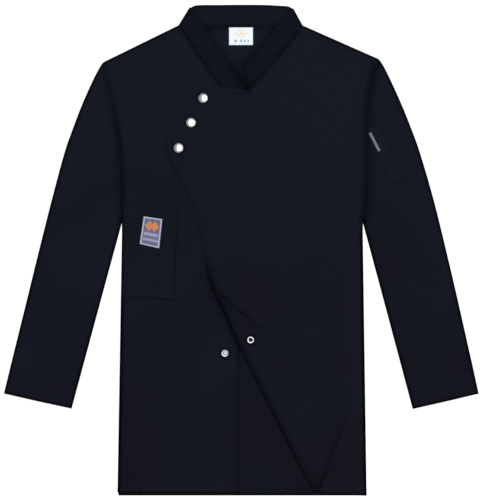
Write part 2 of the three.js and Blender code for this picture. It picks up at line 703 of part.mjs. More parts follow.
add('snap_socket', snapOn(leftFront, SNAP_SOCKET, SOCKET_PROFILE), SILVER);

export default jacket;
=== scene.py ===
import math

import bpy
import numpy as np
from bpy.props import FloatProperty, FloatVectorProperty, PointerProperty
from mathutils import Euler, Matrix, Vector
from mathutils.bvhtree import BVHTree


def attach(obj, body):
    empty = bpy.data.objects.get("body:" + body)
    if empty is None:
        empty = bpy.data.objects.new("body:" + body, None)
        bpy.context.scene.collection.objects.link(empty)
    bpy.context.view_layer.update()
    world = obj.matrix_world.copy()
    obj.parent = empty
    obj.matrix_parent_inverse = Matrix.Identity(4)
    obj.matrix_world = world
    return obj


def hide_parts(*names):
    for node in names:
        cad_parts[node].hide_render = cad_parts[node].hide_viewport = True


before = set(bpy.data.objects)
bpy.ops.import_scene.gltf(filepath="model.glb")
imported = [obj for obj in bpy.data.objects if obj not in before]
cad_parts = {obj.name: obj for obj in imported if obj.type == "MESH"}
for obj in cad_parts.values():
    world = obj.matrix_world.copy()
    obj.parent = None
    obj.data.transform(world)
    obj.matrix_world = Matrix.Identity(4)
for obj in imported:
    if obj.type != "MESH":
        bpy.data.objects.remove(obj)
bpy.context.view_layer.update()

bl_info = {
    "name": "Chef jacket",
    "version": (1, 0, 0),
    "blender": (4, 5, 0),
    "location": "3D View > Sidebar > Jacket",
    "description": "A chef jacket laid flat, with its twill, seams, stitching, snaps and labels",
    "category": "Object",
}

# Pattern sizes are in millimetres, as on a maker's pattern, and MM turns them into Blender's metres.
# X points to the wearer's left, Y from the hem to the collar and Z up from the table.
MM = 0.001

# Cloth and layers
CLOTH = 1.0
COLLAR_CLOTH = 1.4
LABEL_CLOTH = 0.7
LAYER_GAP = 0.6
UNDER_GAP = 0.3
LAID_GAP = 0.05
BACK_LEVEL = CLOTH / 2
FRONT_LEVEL = BACK_LEVEL + CLOTH + UNDER_GAP
OVERLAP_RISE = COLLAR_CLOTH + UNDER_GAP
BODY_PUFF = 2.0
SLEEVE_PUFF = 2.0
HEM_PUFF_SHARE = 0.3
CREASE_CLEAR = 0.9

# Body
HEM_Y = -416.8
UNDER_HEM_Y = -412
FRONT_EDGE_X = -2.9
FRONT_EDGE_TOP = 251
OVERLAP_FROM = 11
OVERLAP_TO = 34
SHOULDER_SEAM_DROP = 9.5
SHOULDER_Y = 381
SHOULDER_SLOPE = 0.469
NECK_HALF_WIDTH = 105
CHEST_HALF_WIDTH = 205
HEM_PUFF_REACH = 1.4 * CHEST_HALF_WIDTH
SIDE_TURN_BELOW_ARMPIT = 19
ARMHOLE_FADE = 0.5
SEAM_BITE = 0.15
UNDER_LAP = 2.2
LAP_END = 0.02
# A pressed fold stands out past its pattern line
STAND_OUT = 0.5

# Steps of the cloth's mesh
GRID = 3.6
PATCH_GRID = 2.6
SPAN_STEPS = 24
SLEEVE_ACROSS = 60
FLAP_ACROSS = 34
COLLAR_ACROSS = 12
COLLAR_SPAN = 7
WRAP_STEPS = 4
SAME_PLACE = 0.004
ARMHOLE_STEPS = 30
# Distances are measured from every so many points of a path
SEAM_STEP = 2
EDGE_STEP = 3
FOLD_STEP = 4
UNDERARM_STEP = 6

# Wall of a cloth piece: share of its thickness that rounds its rim, and angles in degrees
RIM_SHARE = 0.3
RIM_SEGMENTS = 2
RIM_ANGLE = 70
SMOOTH_ANGLE = 50

# Folds
HALF_TURN = np.radians([22.5, 45, 67.5, 90, 112.5, 135, 157.5, 180])
QUARTER_TURN = np.radians([15, 30, 45, 60, 75, 90])
FOLD_RADIUS = (FRONT_LEVEL - BACK_LEVEL) / 2
FOLD_INSET = FOLD_RADIUS + CLOTH / 2
SIDE_RADIUS = FRONT_LEVEL - BACK_LEVEL
SIDE_INSET = SIDE_RADIUS + CLOTH / 2
BACK_SIDE_INSET = 1.6
NECK_CLEARANCE = 0.9
NECK_TUCK = 2.0
COLLAR_SETTLE = 60
COLLAR_CROWN = 0.2

# The turned-back corner of the over front
FLAP_FOLD_TOP = (-51.5, -59.2)
FLAP_FOLD_HEM = (124.4, -407.7)
FLAP_RADIUS = 1.5
FLAP_REACH = FLAP_RADIUS + CLOTH / 2
FLAP_SETTLE = 50
FLAP_TURN = np.radians(np.linspace(0, 180, 11))
# How far the fold lies out from a straight line: distance along it, distance across it
FOLD_EASE = (
    (0, 0), (50, 0.2), (85, 1.8), (115, 3.2), (150, 4.2), (225, 4.5), (330, 4.2), (365, 3.8),
    (395, 2.2),
)
# Its outline: distance along the fold, distance across it
FLAP = (
    (0, 0), (30, 9.8), (58, 21.2), (96, 36.6), (135, 53.2), (191, 79.4), (230, 103.8),
    (262, 124), (277, 128.5), (302, 104.5), (328, 76), (354, 47.5), (382, 18), (392, 7),
)

# The over front's hem runs up to the fold's end from this far away
HEM_SETTLE_RUN = 34
HEM_SETTLE_RISE = 0.8

# Seam of each sleeve, from the shoulder tip to the armpit: right x and y, left x and y
ARMHOLE = (
    (-233.0, 319.6, 232.6, 324.6),
    (-224.6, 282.2, 221.5, 294.0),
    (-214.7, 234.8, 213.2, 248.5),
    (-205.0, 178.8, 210.9, 195.8),
    (-202.4, 122.7, 211.4, 136.3),
    (-202.0, 85.0, 210.2, 80.0),
    (-202.5, 50.5, 206.2, 50.5),
)

# Outer fold of each sleeve, from the shoulder tip to the cuff: right x and y, left x and y
SLEEVE_FOLD = (
    (-233.4, 319.4, 232.9, 324.7),
    (-239.2, 312.3, 241.6, 312.3),
    (-253.0, 285.9, 254.7, 285.9),
    (-271.1, 245.1, 273.0, 245.1),
    (-286.6, 204.3, 289.3, 204.3),
    (-300.6, 163.5, 303.8, 163.5),
    (-322.5, 81.9, 327.4, 81.9),
    (-346.6, -14.1, 350.9, -14.1),
    (-361.6, -75.3, 365.2, -75.3),
    (-376.7, -136.5, 379.1, -136.5),
    (-391.8, -197.7, 392.8, -197.7),
    (-402.9, -243.6, 402.9, -243.8),
)

# Side seam at the hem, and the underarm's end at the cuff
HEM_SIDE_X = {"right": -210.5, "left": 213.0}
CUFF_UNDERARM = {"right": (-288.8, -269.1), "left": (291.7, -269.7)}

# A sleeve swells out over this share of its length, and its creases sooner by this factor
SWELL_SHARE = 0.5
SWELL_GAIN = 3

# Collar, each row across the band: neck seam x and y, free edge x and y.
# The first row of each end is the side fold, and the last is where the collar stops in front.
COLLAR_RIGHT = (
    (-107.0, 381.4, -87.8, 412.6),
    (-100.3, 373.0, -73.1, 398.3),
    (-91.5, 359.4, -62.4, 381.3),
    (-79.6, 340.0, -50.1, 363.5),
    (-64.8, 318.1, -35.2, 341.0),
    (-49.8, 297.3, -20.9, 317.7),
    (-33.1, 277.8, -5.6, 296.0),
    (-19.2, 260.4, 9.0, 278.3),
)
COLLAR_LEFT = (
    (104.6, 381.2, 88.2, 411.2),
    (99.5, 373.5, 74.3, 402.6),
    (89.6, 360.5, 63.1, 386.2),
    (74.3, 341.7, 48.8, 368.0),
    (58.1, 322.1, 33.5, 348.0),
    (40.3, 302.6, 19.9, 330.5),
    (25.0, 285.9, 9.6, 318.4),
    (12.9, 270.6, 4.0, 312.5),
)
COLLAR_BACK = (
    (-96.6, 379.2, -78.5, 415.6),
    (-77.0, 378.6, -65.1, 416.7),
    (-44.7, 379.2, -41.3, 416.7),
    (-0.5, 380.1, -0.5, 417.0),
    (42.0, 379.5, 40.3, 416.7),
    (76.0, 378.8, 65.8, 415.4),
    (94.7, 379.4, 79.5, 414.3),
)

# Cut edge of the over front, from the top of the flap's fold to the corner below the snaps
OVER_EDGE = (
    (-54.9, -43.4), (-60.5, -11.6), (-70.2, 34.3), (-80.5, 70.7), (-93.7, 100.0),
    (-108.1, 129.0), (-122.4, 159.1), (-128.0, 172.9), (-127.2, 182.9),
)
OVER_TOP_EDGE = ((-77.0, 281.7), (-32.8, 277.4))

# Patches by their corners: top right-hand, top left-hand, low left-hand, low right-hand
HIP_POCKET = ((-200.9, 79.7), (-106.4, 71.7), (-113.6, -85.2), (-203.6, -78.7))
POCKET_LABEL = ((-165.6, 57.5), (-134.0, 52.7), (-139.4, 3.2), (-172.5, 10.7))
PEN_POCKET = ((212.0, 205.0), (236.6, 213.0), (279.5, 121.5), (254.5, 114.0))
SLEEVE_LABEL = ((216.1, 198.2), (220.1, 200.4), (236.3, 169.3), (232.3, 167.1))
NECK_LABEL = ((-20.9, 378.5), (19.8, 378.5), (19.8, 348.5), (-20.9, 348.5))
# The hip pocket's open mouth stands off the front: by how much, over what share of its height
MOUTH_LIFT = 0.5
MOUTH_REACH = 0.12

# Marks on the labels, in shares of width and height: a box's left, right, low and high, or a
# lozenge's centre and reach, and the setting that holds the colour
POCKET_LABEL_MARKS = (
    ("box", (0.08, 0.92, 0.05, 0.95), "field"),
    ("lozenge", ((0.36, 0.70), (0.23, 0.19)), "motif"),
    ("lozenge", ((0.65, 0.70), (0.23, 0.19)), "motif"),
    ("box", (0.13, 0.88, 0.35, 0.46), "bars"),
    ("box", (0.12, 0.90, 0.17, 0.26), "bars"),
)
NECK_LABEL_MARKS = (
    ("lozenge", ((0.5, 0.66), (0.30, 0.28)), "neck_motif"),
    ("lozenge", ((0.5, 0.66), (0.22, 0.20)), "neck_ground"),
    ("lozenge", ((0.5, 0.66), (0.13, 0.12)), "neck_motif"),
    ("box", (0.21, 0.34, 0.16, 0.30), "neck_dashes"),
    ("box", (0.45, 0.55, 0.16, 0.30), "neck_dashes"),
    ("box", (0.61, 0.70, 0.16, 0.30), "neck_dashes"),
    ("box", (0.77, 0.84, 0.16, 0.30), "neck_dashes"),
)

# Snaps
SNAP_CAPS = ((-64.8, 258.2), (-85.2, 216.6), (-106.5, 173.6))
SNAP_STUD = (-27.8, -175.0)
SNAP_SOCKET = (15.7, -151.9)
SNAP_DIMPLE = 0.3
SNAP_DIMPLE_REACH = 11
CAP_RIM = 8.5
SNAP_SIDES = 32
# Points of a ring round a snap, and the step between those that measure its seat
RING_POINTS = 25
SEAT_STEP = 6
# Rings of each turned part, from the cloth up: radius, height
CAP_RINGS = (
    (8.1, 0), (8.5, 0.35), (8.5, 0.8), (8.2, 1.15), (7.85, 1.25), (7.55, 1.6),
    (6.9, 2.15), (5.8, 2.62), (4.3, 2.98), (2.6, 3.2), (0.9, 3.3),
)
STUD_RINGS = (
    (6.6, 0), (6.6, 0.6), (6.3, 1.1), (5.9, 1.5), (5.3, 1.6), (4.7, 1.35), (4.1, 1.0), (3.0, 0.95),
    (2.4, 1.2), (2.3, 2.0), (2.75, 2.9), (2.6, 3.5), (1.9, 3.95), (0.8, 4.1),
)
SOCKET_RINGS = (
    (6.6, 0), (6.6, 0.9), (6.4, 1.6), (6.1, 2.15), (5.6, 2.5), (5.0, 2.6), (4.3, 2.55),
    (3.5, 2.35), (2.7, 1.9), (2.4, 1.4), (2.2, 0.75),
)
# Painted shade in the socket's hole: near-black metal within this radius, and its colour
HOLE_RADIUS = 2.5
HOLE_SHADE_COLOUR = (0.004, 0.004, 0.007)
# How far each cap leans on the soft cloth, in degrees towards X and towards Y
CAP_LEANS = ((-7.5, 4.0), (0.0, 4.0), (-5.8, 3.2))

# Soft creases: from x and y, to x and y, half width, height, sideways bow
FRONT_CREASES = (
    (-196, 96, -118, 128, 11, 0.8, 6),
    (-198, 66, -132, 60, 9, -0.5, -5),
    (-190, 150, -150, 214, 12, 0.6, 8),
    (206, 78, 122, 118, 12, 0.9, -8),
    (208, 44, 138, 34, 10, -0.6, 6),
    (196, 150, 158, 226, 13, 0.7, -9),
    (24, 206, 96, 132, 17, 0.6, 9),
    (-34, 120, 58, 66, 20, -0.7, 10),
    (-18, 16, 132, -28, 22, 0.8, -12),
    (34, -64, 168, -96, 18, -0.7, 9),
    (96, -8, 128, -150, 15, 0.7, -10),
    (-166, -126, -60, -152, 16, 0.6, 8),
    (-124, -212, -36, -250, 18, -0.6, -9),
    (-188, -260, -120, -322, 15, 0.5, 7),
    (160, -188, 178, -320, 14, 0.6, 6),
    (-70, 176, -28, 60, 15, 0.5, -8),
)
SLEEVE_CREASES = {
    "right": (
        (-294, 128, -232, 96, 9, 0.8, 5),
        (-306, 92, -246, 74, 8, -0.6, -4),
        (-324, 28, -262, 2, 10, 0.9, 6),
        (-332, -8, -274, -22, 8, -0.7, -4),
        (-338, -44, -280, -78, 11, 0.8, 7),
        (-352, -118, -318, -172, 10, 0.5, -5),
        (-268, 224, -246, 140, 10, 0.6, 5),
        (-372, -196, -322, -208, 7, 0.6, 3),
    ),
    "left": (
        (298, 122, 240, 84, 9, 0.8, -5),
        (312, 84, 252, 70, 8, -0.6, 4),
        (330, 20, 268, 6, 10, 0.9, -6),
        (336, -20, 282, -46, 9, -0.7, 5),
        (344, -62, 288, -84, 11, 0.8, -6),
        (360, -130, 330, -186, 10, 0.5, 5),
        (272, 220, 262, 150, 9, 0.6, -4),
        (376, -204, 330, -212, 7, 0.6, -3),
    ),
}
BACK_CREASES = (
    (-150, 190, -40, 150, 16, 0.5, 9),
    (-20, 96, 118, 128, 18, 0.6, -8),
    (-112, 12, 30, -18, 20, 0.5, 10),
    (40, -88, 150, -60, 15, 0.5, 7),
    (-60, -170, 70, -210, 18, 0.4, -9),
    (-160, -120, -110, -20, 13, 0.4, 6),
    (146, 60, 170, 170, 12, 0.4, -6),
)
UNDERARM_CREASE_SHARE = 0.25

# Seams press the cloth down and leave a soft ridge beside it: ridge height, width
ARMHOLE_RIDGE = (1.0, 7.0)
SHOULDER_RIDGE = (0.5, 6.0)
NECK_RIDGE = (0.35, 7.0)
SLEEVE_RIDGE = (1.2, 8.0)
# Shade is painted into the cloth's colour in a seam and at a turned edge: strength, width. A strength
# that changes on the way is given at shares of the line's length.
ARMHOLE_SHADE = {
    "right": (((0, 0.2), (0.25, 0.32), (0.45, 0.52), (1, 0.52)), 3.8),
    "left": (0.43, 6.5),
}
SLEEVE_SEAM_SHADE = {
    "right": (((0, 0.3), (0.25, 0.44), (0.45, 0.58), (0.7, 0.5), (1, 0.5)), 8.8),
    "left": (0.53, 11.0),
}
# The whole sleeve is a little lighter or darker than the body, measured from its seam
SLEEVE_CAST = {"right": (-0.075, 900.0), "left": (0.03, 900.0)}
NECK_SHADE = (0.4, 5.0)
SHOULDER_SHADE = (0.08, 2.2)
SHOULDER_EDGE_SHADE = (0.98, 2.6)
EDGE_SHADE = (0.98, 3.6)
SIDE_SHADE = (0.98, 3.4)
BACK_HEM_SHADE = (0.96, 3.6)
OVER_HEM_SHADE = (((0, 0.12), (0.28, 0.4), (0.4, 0.96), (1, 0.96)), 3.6)
FRONT_HEM_SHADE = (0.4, 2.0)
# A strength below zero lightens: the hems and the over front's side are made lighter
HEM_LIGHT = (-0.2, 8.0)
SIDE_LIGHT = (-0.11, 26.0)
COLLAR_EDGE_SHADE = (0.9, 2.8)
COLLAR_LEG_SHADE = (0.32, 3.2)
COLLAR_FOLD_SHADE = (0.9, 3.0)
BACK_BAND_LIGHT = 0.2
# Painted shadow on the sleeve beside the pen pocket's low corner: strength, width
POCKET_SHADOW_SHADE = (0.34, 2.2)
# The line of that painted shadow
POCKET_SHADOW_LINE = ((269.3, 124.3), (281.5, 120.5), (266.9, 113.7))
PATCH_SHADE = (0.28, 2.4)
LABEL_SHADE = (0.15, 1.2)
PEN_POCKET_SHADE = (0.02, 2.4)
FOLD_SHADES = (
    (((0, 0), (0.1, 0.3), (0.2, 0.34), (1, 0.35)), 5.4),
    (((0, 0), (0.1, 0.16), (0.2, 0.22), (1, 0.2)), 10.5),
    (((0, 0), (0.12, 0.05), (0.18, 0.16), (0.26, 0.08), (0.4, 0), (1, 0)), 7.0),
)
OVER_EDGE_SHADE = (
    ((0, 0.46), (0.05, 0.42), (0.13, 0.3), (0.2, 0.24), (0.3, 0.16), (0.5, 0.1), (0.62, 0.1),
     (0.8, 0.28), (0.9, 0.3), (1, 0.1)), 2.8,
)
OVER_ROLL_SHADE = (((0, 0.2), (0.15, 0.08), (0.3, 0), (1, 0)), 7.5)
SNAP_EDGE_SHADE = (0.02, 2.4)
FRONT_EDGE_SHADE = (0.44, 3.4)
FLAP_CUT_SHADE = (((0, 0.1), (0.06, 0.4), (0.25, 0.34), (0.5, 0.14), (0.7, 0.04), (1, 0.08)), 6.0)
FLAP_TOP_SHADE = (((0, 0.1), (0.06, 0.2), (0.25, 0.16), (0.5, 0.08), (1, 0.04)), 2.6)
FLAP_HEM_SHADE = (((0, 0.08), (0.3, 0.16), (0.6, 0.34), (1, 0.5)), 3.2)
LEG_EDGE_SHADE = (0.32, 8.5)
# The collar's left end casts a shadow along this line, into the V of the neck
V_SHADES = ((0.3, 7.0), (0.22, 22.0))
V_SHADOW = ((-9.5, 303.8), (9.5, 275.4))
SNAP_SHADE = (0.75, 2.6)

# Worked edges: a double layer stands up by this much out to the stitch line
HEM_BAND = 0.3
BAND_SOFTNESS = 2.0
NO_STITCH = 900.0
TINY = 1e-12

# A stitch, from one end to the other: place along it, width and height in thread radii
STITCH_SHARES = np.array((0.0, 0.2, 0.5, 0.8, 1.0))
STITCH_WIDTHS = np.array((0.5, 1.0, 1.0, 1.0, 0.5))
STITCH_RISES = np.array((-0.9, 0.25, 0.55, 0.25, -0.9))
STITCH_SIDES = 5
# Where rays start, in metres above or below the table
PROBE = 0.05
# Stitches on the collar's back lie below this height, and those above it are on other cloth
BACK_BAND_CEILING = 2.2
# Where rows of stitches stop: clear of the side seams, and of the over front's fold
HEM_CLEAR = 4
FLAP_HEM_CLEAR = 14
EDGE_CLEAR = 1
ARMHOLE_SEWN = (0.05, 0.97)
# Points left out at the ends of a row of stitches
COLLAR_ENDS = 1
COLLAR_FOLD_ENDS = 2
SHOULDER_ENDS = 2
NECK_ENDS = 3
FLAP_HEM_ENDS = 3
BACK_NECK_ENDS = 4
FLAP_CUT_START = 8
FLAP_CUT_END = 2
# An inside offset's points are thinned to this share of the offset
KINK_SHARE = 1 / 3
# Rows across a pocket's mouth, and the hip pocket's second row down its inner side
POCKET_MOUTH_SHARE = 0.24
PEN_MOUTH_SHARE = 0.12
POCKET_SECOND_INSET = 10
POCKET_SECOND_END = 0.97

# Twill: how its ribs, yarns and slubs lie, and how high they stand in metres
RIB_ANGLE = math.radians(-58)
RIB_WAVER = 0.6
RIB_HEIGHT = 0.00007
YARN_ANGLE = math.radians(32)
YARN_WAVER = 0.8
YARN_SHARE = 0.62
YARN_HEIGHT = 0.00003
SLUB_SCALE = (900, 70, 1)
SLUB_HEIGHT = 0.00006
MOTTLE_SCALE = 260.0
CLOUD_SCALE = 6.5
# Cloth draws in beside a row of stitches, which lies in a channel
PUCKER_SCALE = (170, 170, 1)
PUCKER_HEIGHT = 0.00022
PUCKER_WIDTH = 0.006
CHANNEL_DEPTH = 0.0002
CHANNEL_WIDTH = 0.0009
# What a pattern does to a colour or a roughness: gain, base
RIB_TONE = (0.34, 0.83)
YARN_TONE = (0.12, 0.94)
SLUB_TONE = (0.36, 0.82)
MOTTLE_TONE = (0.20, 0.90)
# The stitch channel's colour is darkened: painted shade in the channel
CHANNEL_SHADE = (-0.3, 1.0)
TWILL_ROUGHNESS = (0.12, 0.82)
TWILL_SPECULAR = 0.02
# The darker tint comes in clouds, and less of it towards the collar
TINT_CLOUD = (2.2, -0.75)
TINT_FALL = -1.2

# Thread, metal and labels, in the same terms
THREAD_SCALE = 2400.0
THREAD_TONE = (0.6, 0.7)
THREAD_ROUGHNESS = (0.2, 0.5)
THREAD_SPECULAR = 0.06
TARNISH_SCALE = 320.0
METAL_TONE = (0.16, 0.9)
POLISH_SCALE = (5200, 900, 900)
POLISH_ANGLE = 0.5
POLISH_HEIGHT = 0.000004
METAL_ROUGHNESS = (0.12, 0.16)
WEAVE_PITCH = 0.00045
PICK_PITCH = 0.0006
PICK_ANGLE = math.radians(90)
LABEL_WAVER = 0.4
LABEL_TONE = (0.14, 0.93)
LABEL_HEIGHT = 0.00004
LABEL_ROUGHNESS = (0.15, 0.65)
LABEL_SPECULAR = 0.3
# Bands of a wave texture in one unit of its scale
WAVE_BANDS = 20

# Stage, in metres, with the camera's sensor in millimetres
FLOOR_DROP = 0.0004
FLOOR_COLOUR = (0.12, 0.12, 0.12, 1)
FLOOR_ROUGHNESS = 0.95
WHITE = (1, 1, 1, 1)
LAMP_HEIGHT = 2.8
LAMP_OFFSET = (0.62, 0.45)
CAMERA_OFFSET = (0.00374, 0.0029)
SENSOR_WIDTH = 36
VIEW_END = 100


def smoothstep(value, low, high):
    share = np.clip((value - low) / (high - low), 0.0, 1.0)
    return share * share * (3.0 - 2.0 * share)


def unit(vector):
    return vector / np.linalg.norm(vector)


# Paths in plan


def spline(points, steps=SPAN_STEPS):
    """A smooth curve through the points, with the same number of steps in each span."""
    points = np.asarray(points, float)
    spans = np.arange(len(points) - 1)
    share = np.linspace(0, 1, steps, endpoint=False)[None, :, None]
    before = points[np.maximum(spans - 1, 0), None]
    low, high = points[:-1, None], points[1:, None]
    after = points[np.minimum(spans + 2, len(points) - 1), None]
    leaving, arriving = (high - before) / 2, (after - low) / 2
    curve = (2 * low - 2 * high + leaving + arriving) * share**3
    curve = curve + (3 * high - 3 * low - 2 * leaving - arriving) * share**2 + leaving * share + low
    return np.vstack((curve.reshape(-1, points.shape[1]), points[-1:]))


def run_of(path):
    """Distance from a path's start to each of its points, in plan."""
    steps = np.linalg.norm(np.diff(path[:, :2], axis=0), axis=1)
    return np.concatenate(([0.0], np.cumsum(steps)))


def spread(path, shares):
    """Points at the given shares of a path's length."""
    path = np.asarray(path, float)
    run = run_of(path)
    at = np.asarray(shares) * run[-1]
    return np.stack([np.interp(at, run, column) for column in path.T], axis=1)


def along(points, steps, start=0.0, end=1.0):
    return spread(spline(points), np.linspace(start, end, steps + 1))


def steps_for(length, grid=GRID):
    return max(1, round(length / grid))


def walked(points, start=0.0, end=1.0):
    """Points about a grid step apart along part of a smooth curve."""
    path = spline(points)
    length = run_of(path)[-1] * abs(end - start)
    return spread(path, np.linspace(start, end, steps_for(length) + 1))


def joined(*paths):
    return np.vstack([paths[0]] + [path[1:] for path in paths[1:]])


def shifted(path, distance):
    """A path moved sideways, to its right as it runs."""
    run = np.gradient(path, axis=0)
    run /= np.linalg.norm(run, axis=1)[:, None]
    return path + distance * np.stack((run[:, 1], -run[:, 0]), axis=1)


def nearest_on(path, places):
    """Distance of each place from a path in plan, and the nearest point's share of the path."""
    flat = places[..., :2].reshape(-1, 2)
    nearest, share = np.full(len(flat), np.inf), np.zeros(len(flat))
    run_so_far = run_of(path) / max(run_of(path)[-1], TINY)
    for i, (start, end) in enumerate(zip(path[:-1], path[1:])):
        run = end - start
        step = np.clip((flat - start) @ run / max(run @ run, TINY), 0, 1)
        gap = flat - start - step[:, None] * run
        square = (gap * gap).sum(axis=1)
        closer = square < nearest
        nearest[closer] = square[closer]
        share[closer] = (run_so_far[i] + step * (run_so_far[i + 1] - run_so_far[i]))[closer]
    shape = places.shape[:-1]
    return np.sqrt(nearest).reshape(shape), share.reshape(shape)


def distance_to(path, places):
    return nearest_on(path, places)[0]


def shares_of(edge, facing):
    """Shares of the length of two facing edges, averaged, at each of their points."""
    return (run_of(edge) / run_of(edge)[-1] + run_of(facing) / run_of(facing)[-1]) / 2


def fill_edges(bottom, top, start, end):
    """Rows of points that fill the four edges of a panel."""
    u = shares_of(bottom, top)[None, :, None]
    v = shares_of(start, end)[:, None, None]
    across = start[:, None] * (1 - u) + end[:, None] * u
    up = bottom[None] * (1 - v) + top[None] * v
    low = bottom[0] * (1 - u) + bottom[-1] * u
    high = top[0] * (1 - u) + top[-1] * u
    return across + up - low * (1 - v) - high * v


# The two sides, read from the tables


def side_of(name):
    column = 0 if name == "right" else 2
    return {
        "name": name,
        "outward": -1 if name == "right" else 1,
        "hem_x": HEM_SIDE_X[name],
        "cuff": np.array(CUFF_UNDERARM[name]),
        "armhole": np.array(ARMHOLE)[:, column:column + 2],
        "sleeve_fold": np.array(SLEEVE_FOLD)[:, column:column + 2],
        "collar": np.array(COLLAR_RIGHT if name == "right" else COLLAR_LEFT),
    }


SIDES = {name: side_of(name) for name in ("right", "left")}


# Heights above the table


def creases_at(creases, places):
    """Height of the soft creases at each place, over their sum of hills and dips."""
    total = np.zeros(places.shape[:-1])
    for from_x, from_y, to_x, to_y, width, height, bow in creases:
        start = np.array((from_x, from_y))
        run = np.array((to_x, to_y)) - start
        length = np.linalg.norm(run)
        run = run / length
        gap = places[..., :2] - start
        share = np.clip(gap @ run / length, 0, 1)
        off = gap @ np.array((-run[1], run[0])) - bow * 4 * share * (1 - share)
        total += height * np.sin(np.pi * share) ** 2 * np.exp(-((off / width) ** 2))
    return total


def ridge(path, places, height, width):
    """The soft ridge beside a seam: nothing on the seam, highest one width away from it."""
    off = distance_to(path, places) / width
    return height * off * np.exp(1 - off)


def body_lift(places):
    """How far the front layers stand clear of the back, creases included."""
    x, y = places[..., 0], places[..., 1]
    shoulder = SHOULDER_Y - SHOULDER_SLOPE * np.maximum(0, np.abs(x) - NECK_HALF_WIDTH)
    from_side = smoothstep(CHEST_HALF_WIDTH - np.abs(x), 0, CHEST_HALF_WIDTH)
    from_shoulder = smoothstep(shoulder - y, 0, CHEST_HALF_WIDTH)
    from_hem = smoothstep(y - HEM_Y, 0, HEM_PUFF_REACH)
    puff = BODY_PUFF * from_side * from_shoulder * (HEM_PUFF_SHARE + (1 - HEM_PUFF_SHARE) * from_hem)
    strength = bpy.context.scene.jacket_cloth.crease_strength
    return puff + strength * creases_at(FRONT_CREASES, places) * np.minimum(1, puff / CREASE_CLEAR)


def front_seams(side):
    """The seams of a front: path, ridge and shade of each."""
    return (
        (along(side["armhole"], ARMHOLE_STEPS), ARMHOLE_RIDGE, ARMHOLE_SHADE[side["name"]]),
        (shoulder_seam(side)["line"], SHOULDER_RIDGE, SHOULDER_SHADE),
        (front_neck(side), NECK_RIDGE, NECK_SHADE),
    )


def front_height(places, side):
    """Level of a front's cloth, with the ridges beside its seams."""
    ridges = sum(ridge(path, places, *size) for path, size, _ in front_seams(side))
    return FRONT_LEVEL + body_lift(places) + ridges


def overlap_rise(places):
    """How far the over front climbs where it lies on the under front."""
    return OVERLAP_RISE * (1 - smoothstep(places[..., 0], OVERLAP_FROM, OVERLAP_TO))


def over_height(places):
    """Level of the over front, pressed in a little round each snap."""
    dimples = np.zeros(places.shape[:-1])
    for place in SNAP_CAPS + (SNAP_SOCKET,):
        off = np.linalg.norm(places[..., :2] - np.array(place), axis=-1)
        dimples += SNAP_DIMPLE * np.exp(-((off / SNAP_DIMPLE_REACH) ** 2))
    return front_height(places, SIDES["left"]) + overlap_rise(places) - dimples


def raised(places, height):
    """Places in plan lifted to a height."""
    height = np.broadcast_to(np.asarray(height, float), places.shape[:-1])
    return np.concatenate((places[..., :2], height[..., None]), axis=-1)


# Patches: rows of points with their place on the flat cloth, their shade and their stitch lines


def shade_at(places, lines):
    """Share of shade painted into the cloth's colour beside seams and turned edges: 0 on open cloth."""
    light = np.ones(places.shape[:-1])
    for path, (strength, width) in lines:
        off, share = nearest_on(path, places)
        if not isinstance(strength, float):
            strength = np.interp(share, *zip(*strength))
        light *= 1 - strength * np.exp(-((off / width) ** 2))
    return 1 - light


def stitches_at(places, lines):
    """Signed distance from up to three stitch lines, each given by an edge and its offset."""
    found = np.full(places.shape[:-1] + (3,), NO_STITCH)
    for column, (path, offset) in enumerate(lines):
        found[..., column] = distance_to(path, places) - offset
    return found


def patch(points, flat, shade_lines=(), stitch_lines=()):
    return {
        "points": points,
        "flat": flat,
        "shade": shade_at(points, shade_lines),
        "stitches": stitches_at(points, stitch_lines),
    }


def band(path, offset, places):
    """The double layer between a worked edge and its stitch line."""
    off = distance_to(path, places)
    return HEM_BAND * (1 - smoothstep(off, offset - BAND_SOFTNESS, offset + BAND_SOFTNESS))


def placed(name, data):
    """A new object in the scene, at its origin."""
    piece = bpy.data.objects.new(name, data)
    bpy.context.scene.collection.objects.link(piece)
    return piece


def cloth_piece(name, patches, thickness):
    """A closed cloth wall over the patches, with points at one place made one."""
    points = np.vstack([part["points"].reshape(-1, 3) for part in patches])
    flat = np.vstack([part["flat"].reshape(-1, 2) for part in patches])
    shade = np.concatenate([part["shade"].ravel() for part in patches])
    stitches = np.vstack([part["stitches"].reshape(-1, 3) for part in patches])
    keys = np.round(points / SAME_PLACE).astype(np.int64)
    _, first, vertex = np.unique(keys, axis=0, return_index=True, return_inverse=True)
    vertex = vertex.ravel()
    quads = []
    start = 0
    for part in patches:
        rows, columns = part["shade"].shape
        number = np.arange(rows * columns).reshape(rows, columns) + start
        corners = (number[:-1, :-1], number[:-1, 1:], number[1:, 1:], number[1:, :-1])
        quads.append(np.stack(corners, axis=-1).reshape(-1, 4))
        start += rows * columns
    faces, sources = [], []
    for quad in np.vstack(quads):
        corners = [i for k, i in enumerate(quad) if vertex[i] != vertex[quad[k - 1]]]
        if len(corners) > 2 and len({vertex[i] for i in corners}) == len(corners):
            faces.append([int(vertex[i]) for i in corners])
            sources.extend(corners)
    mesh = bpy.data.meshes.new(name)
    mesh.from_pydata(points[first] * MM, [], faces)
    cloth = mesh.uv_layers.new(name="Cloth")
    cloth.data.foreach_set("uv", (flat[sources] * MM).ravel())
    mesh.attributes.new("shade", "FLOAT", "POINT").data.foreach_set("value", shade[first])
    lines = mesh.attributes.new("stitch_lines", "FLOAT_VECTOR", "POINT")
    lines.data.foreach_set("vector", (stitches[first] * MM).ravel())
    area = sum(polygon.area for polygon in mesh.polygons)
    size = (flat.max(axis=0) - flat.min(axis=0)) * MM
    piece = placed(name, mesh)
    thicken(piece, thickness * MM)
    return piece, size, area


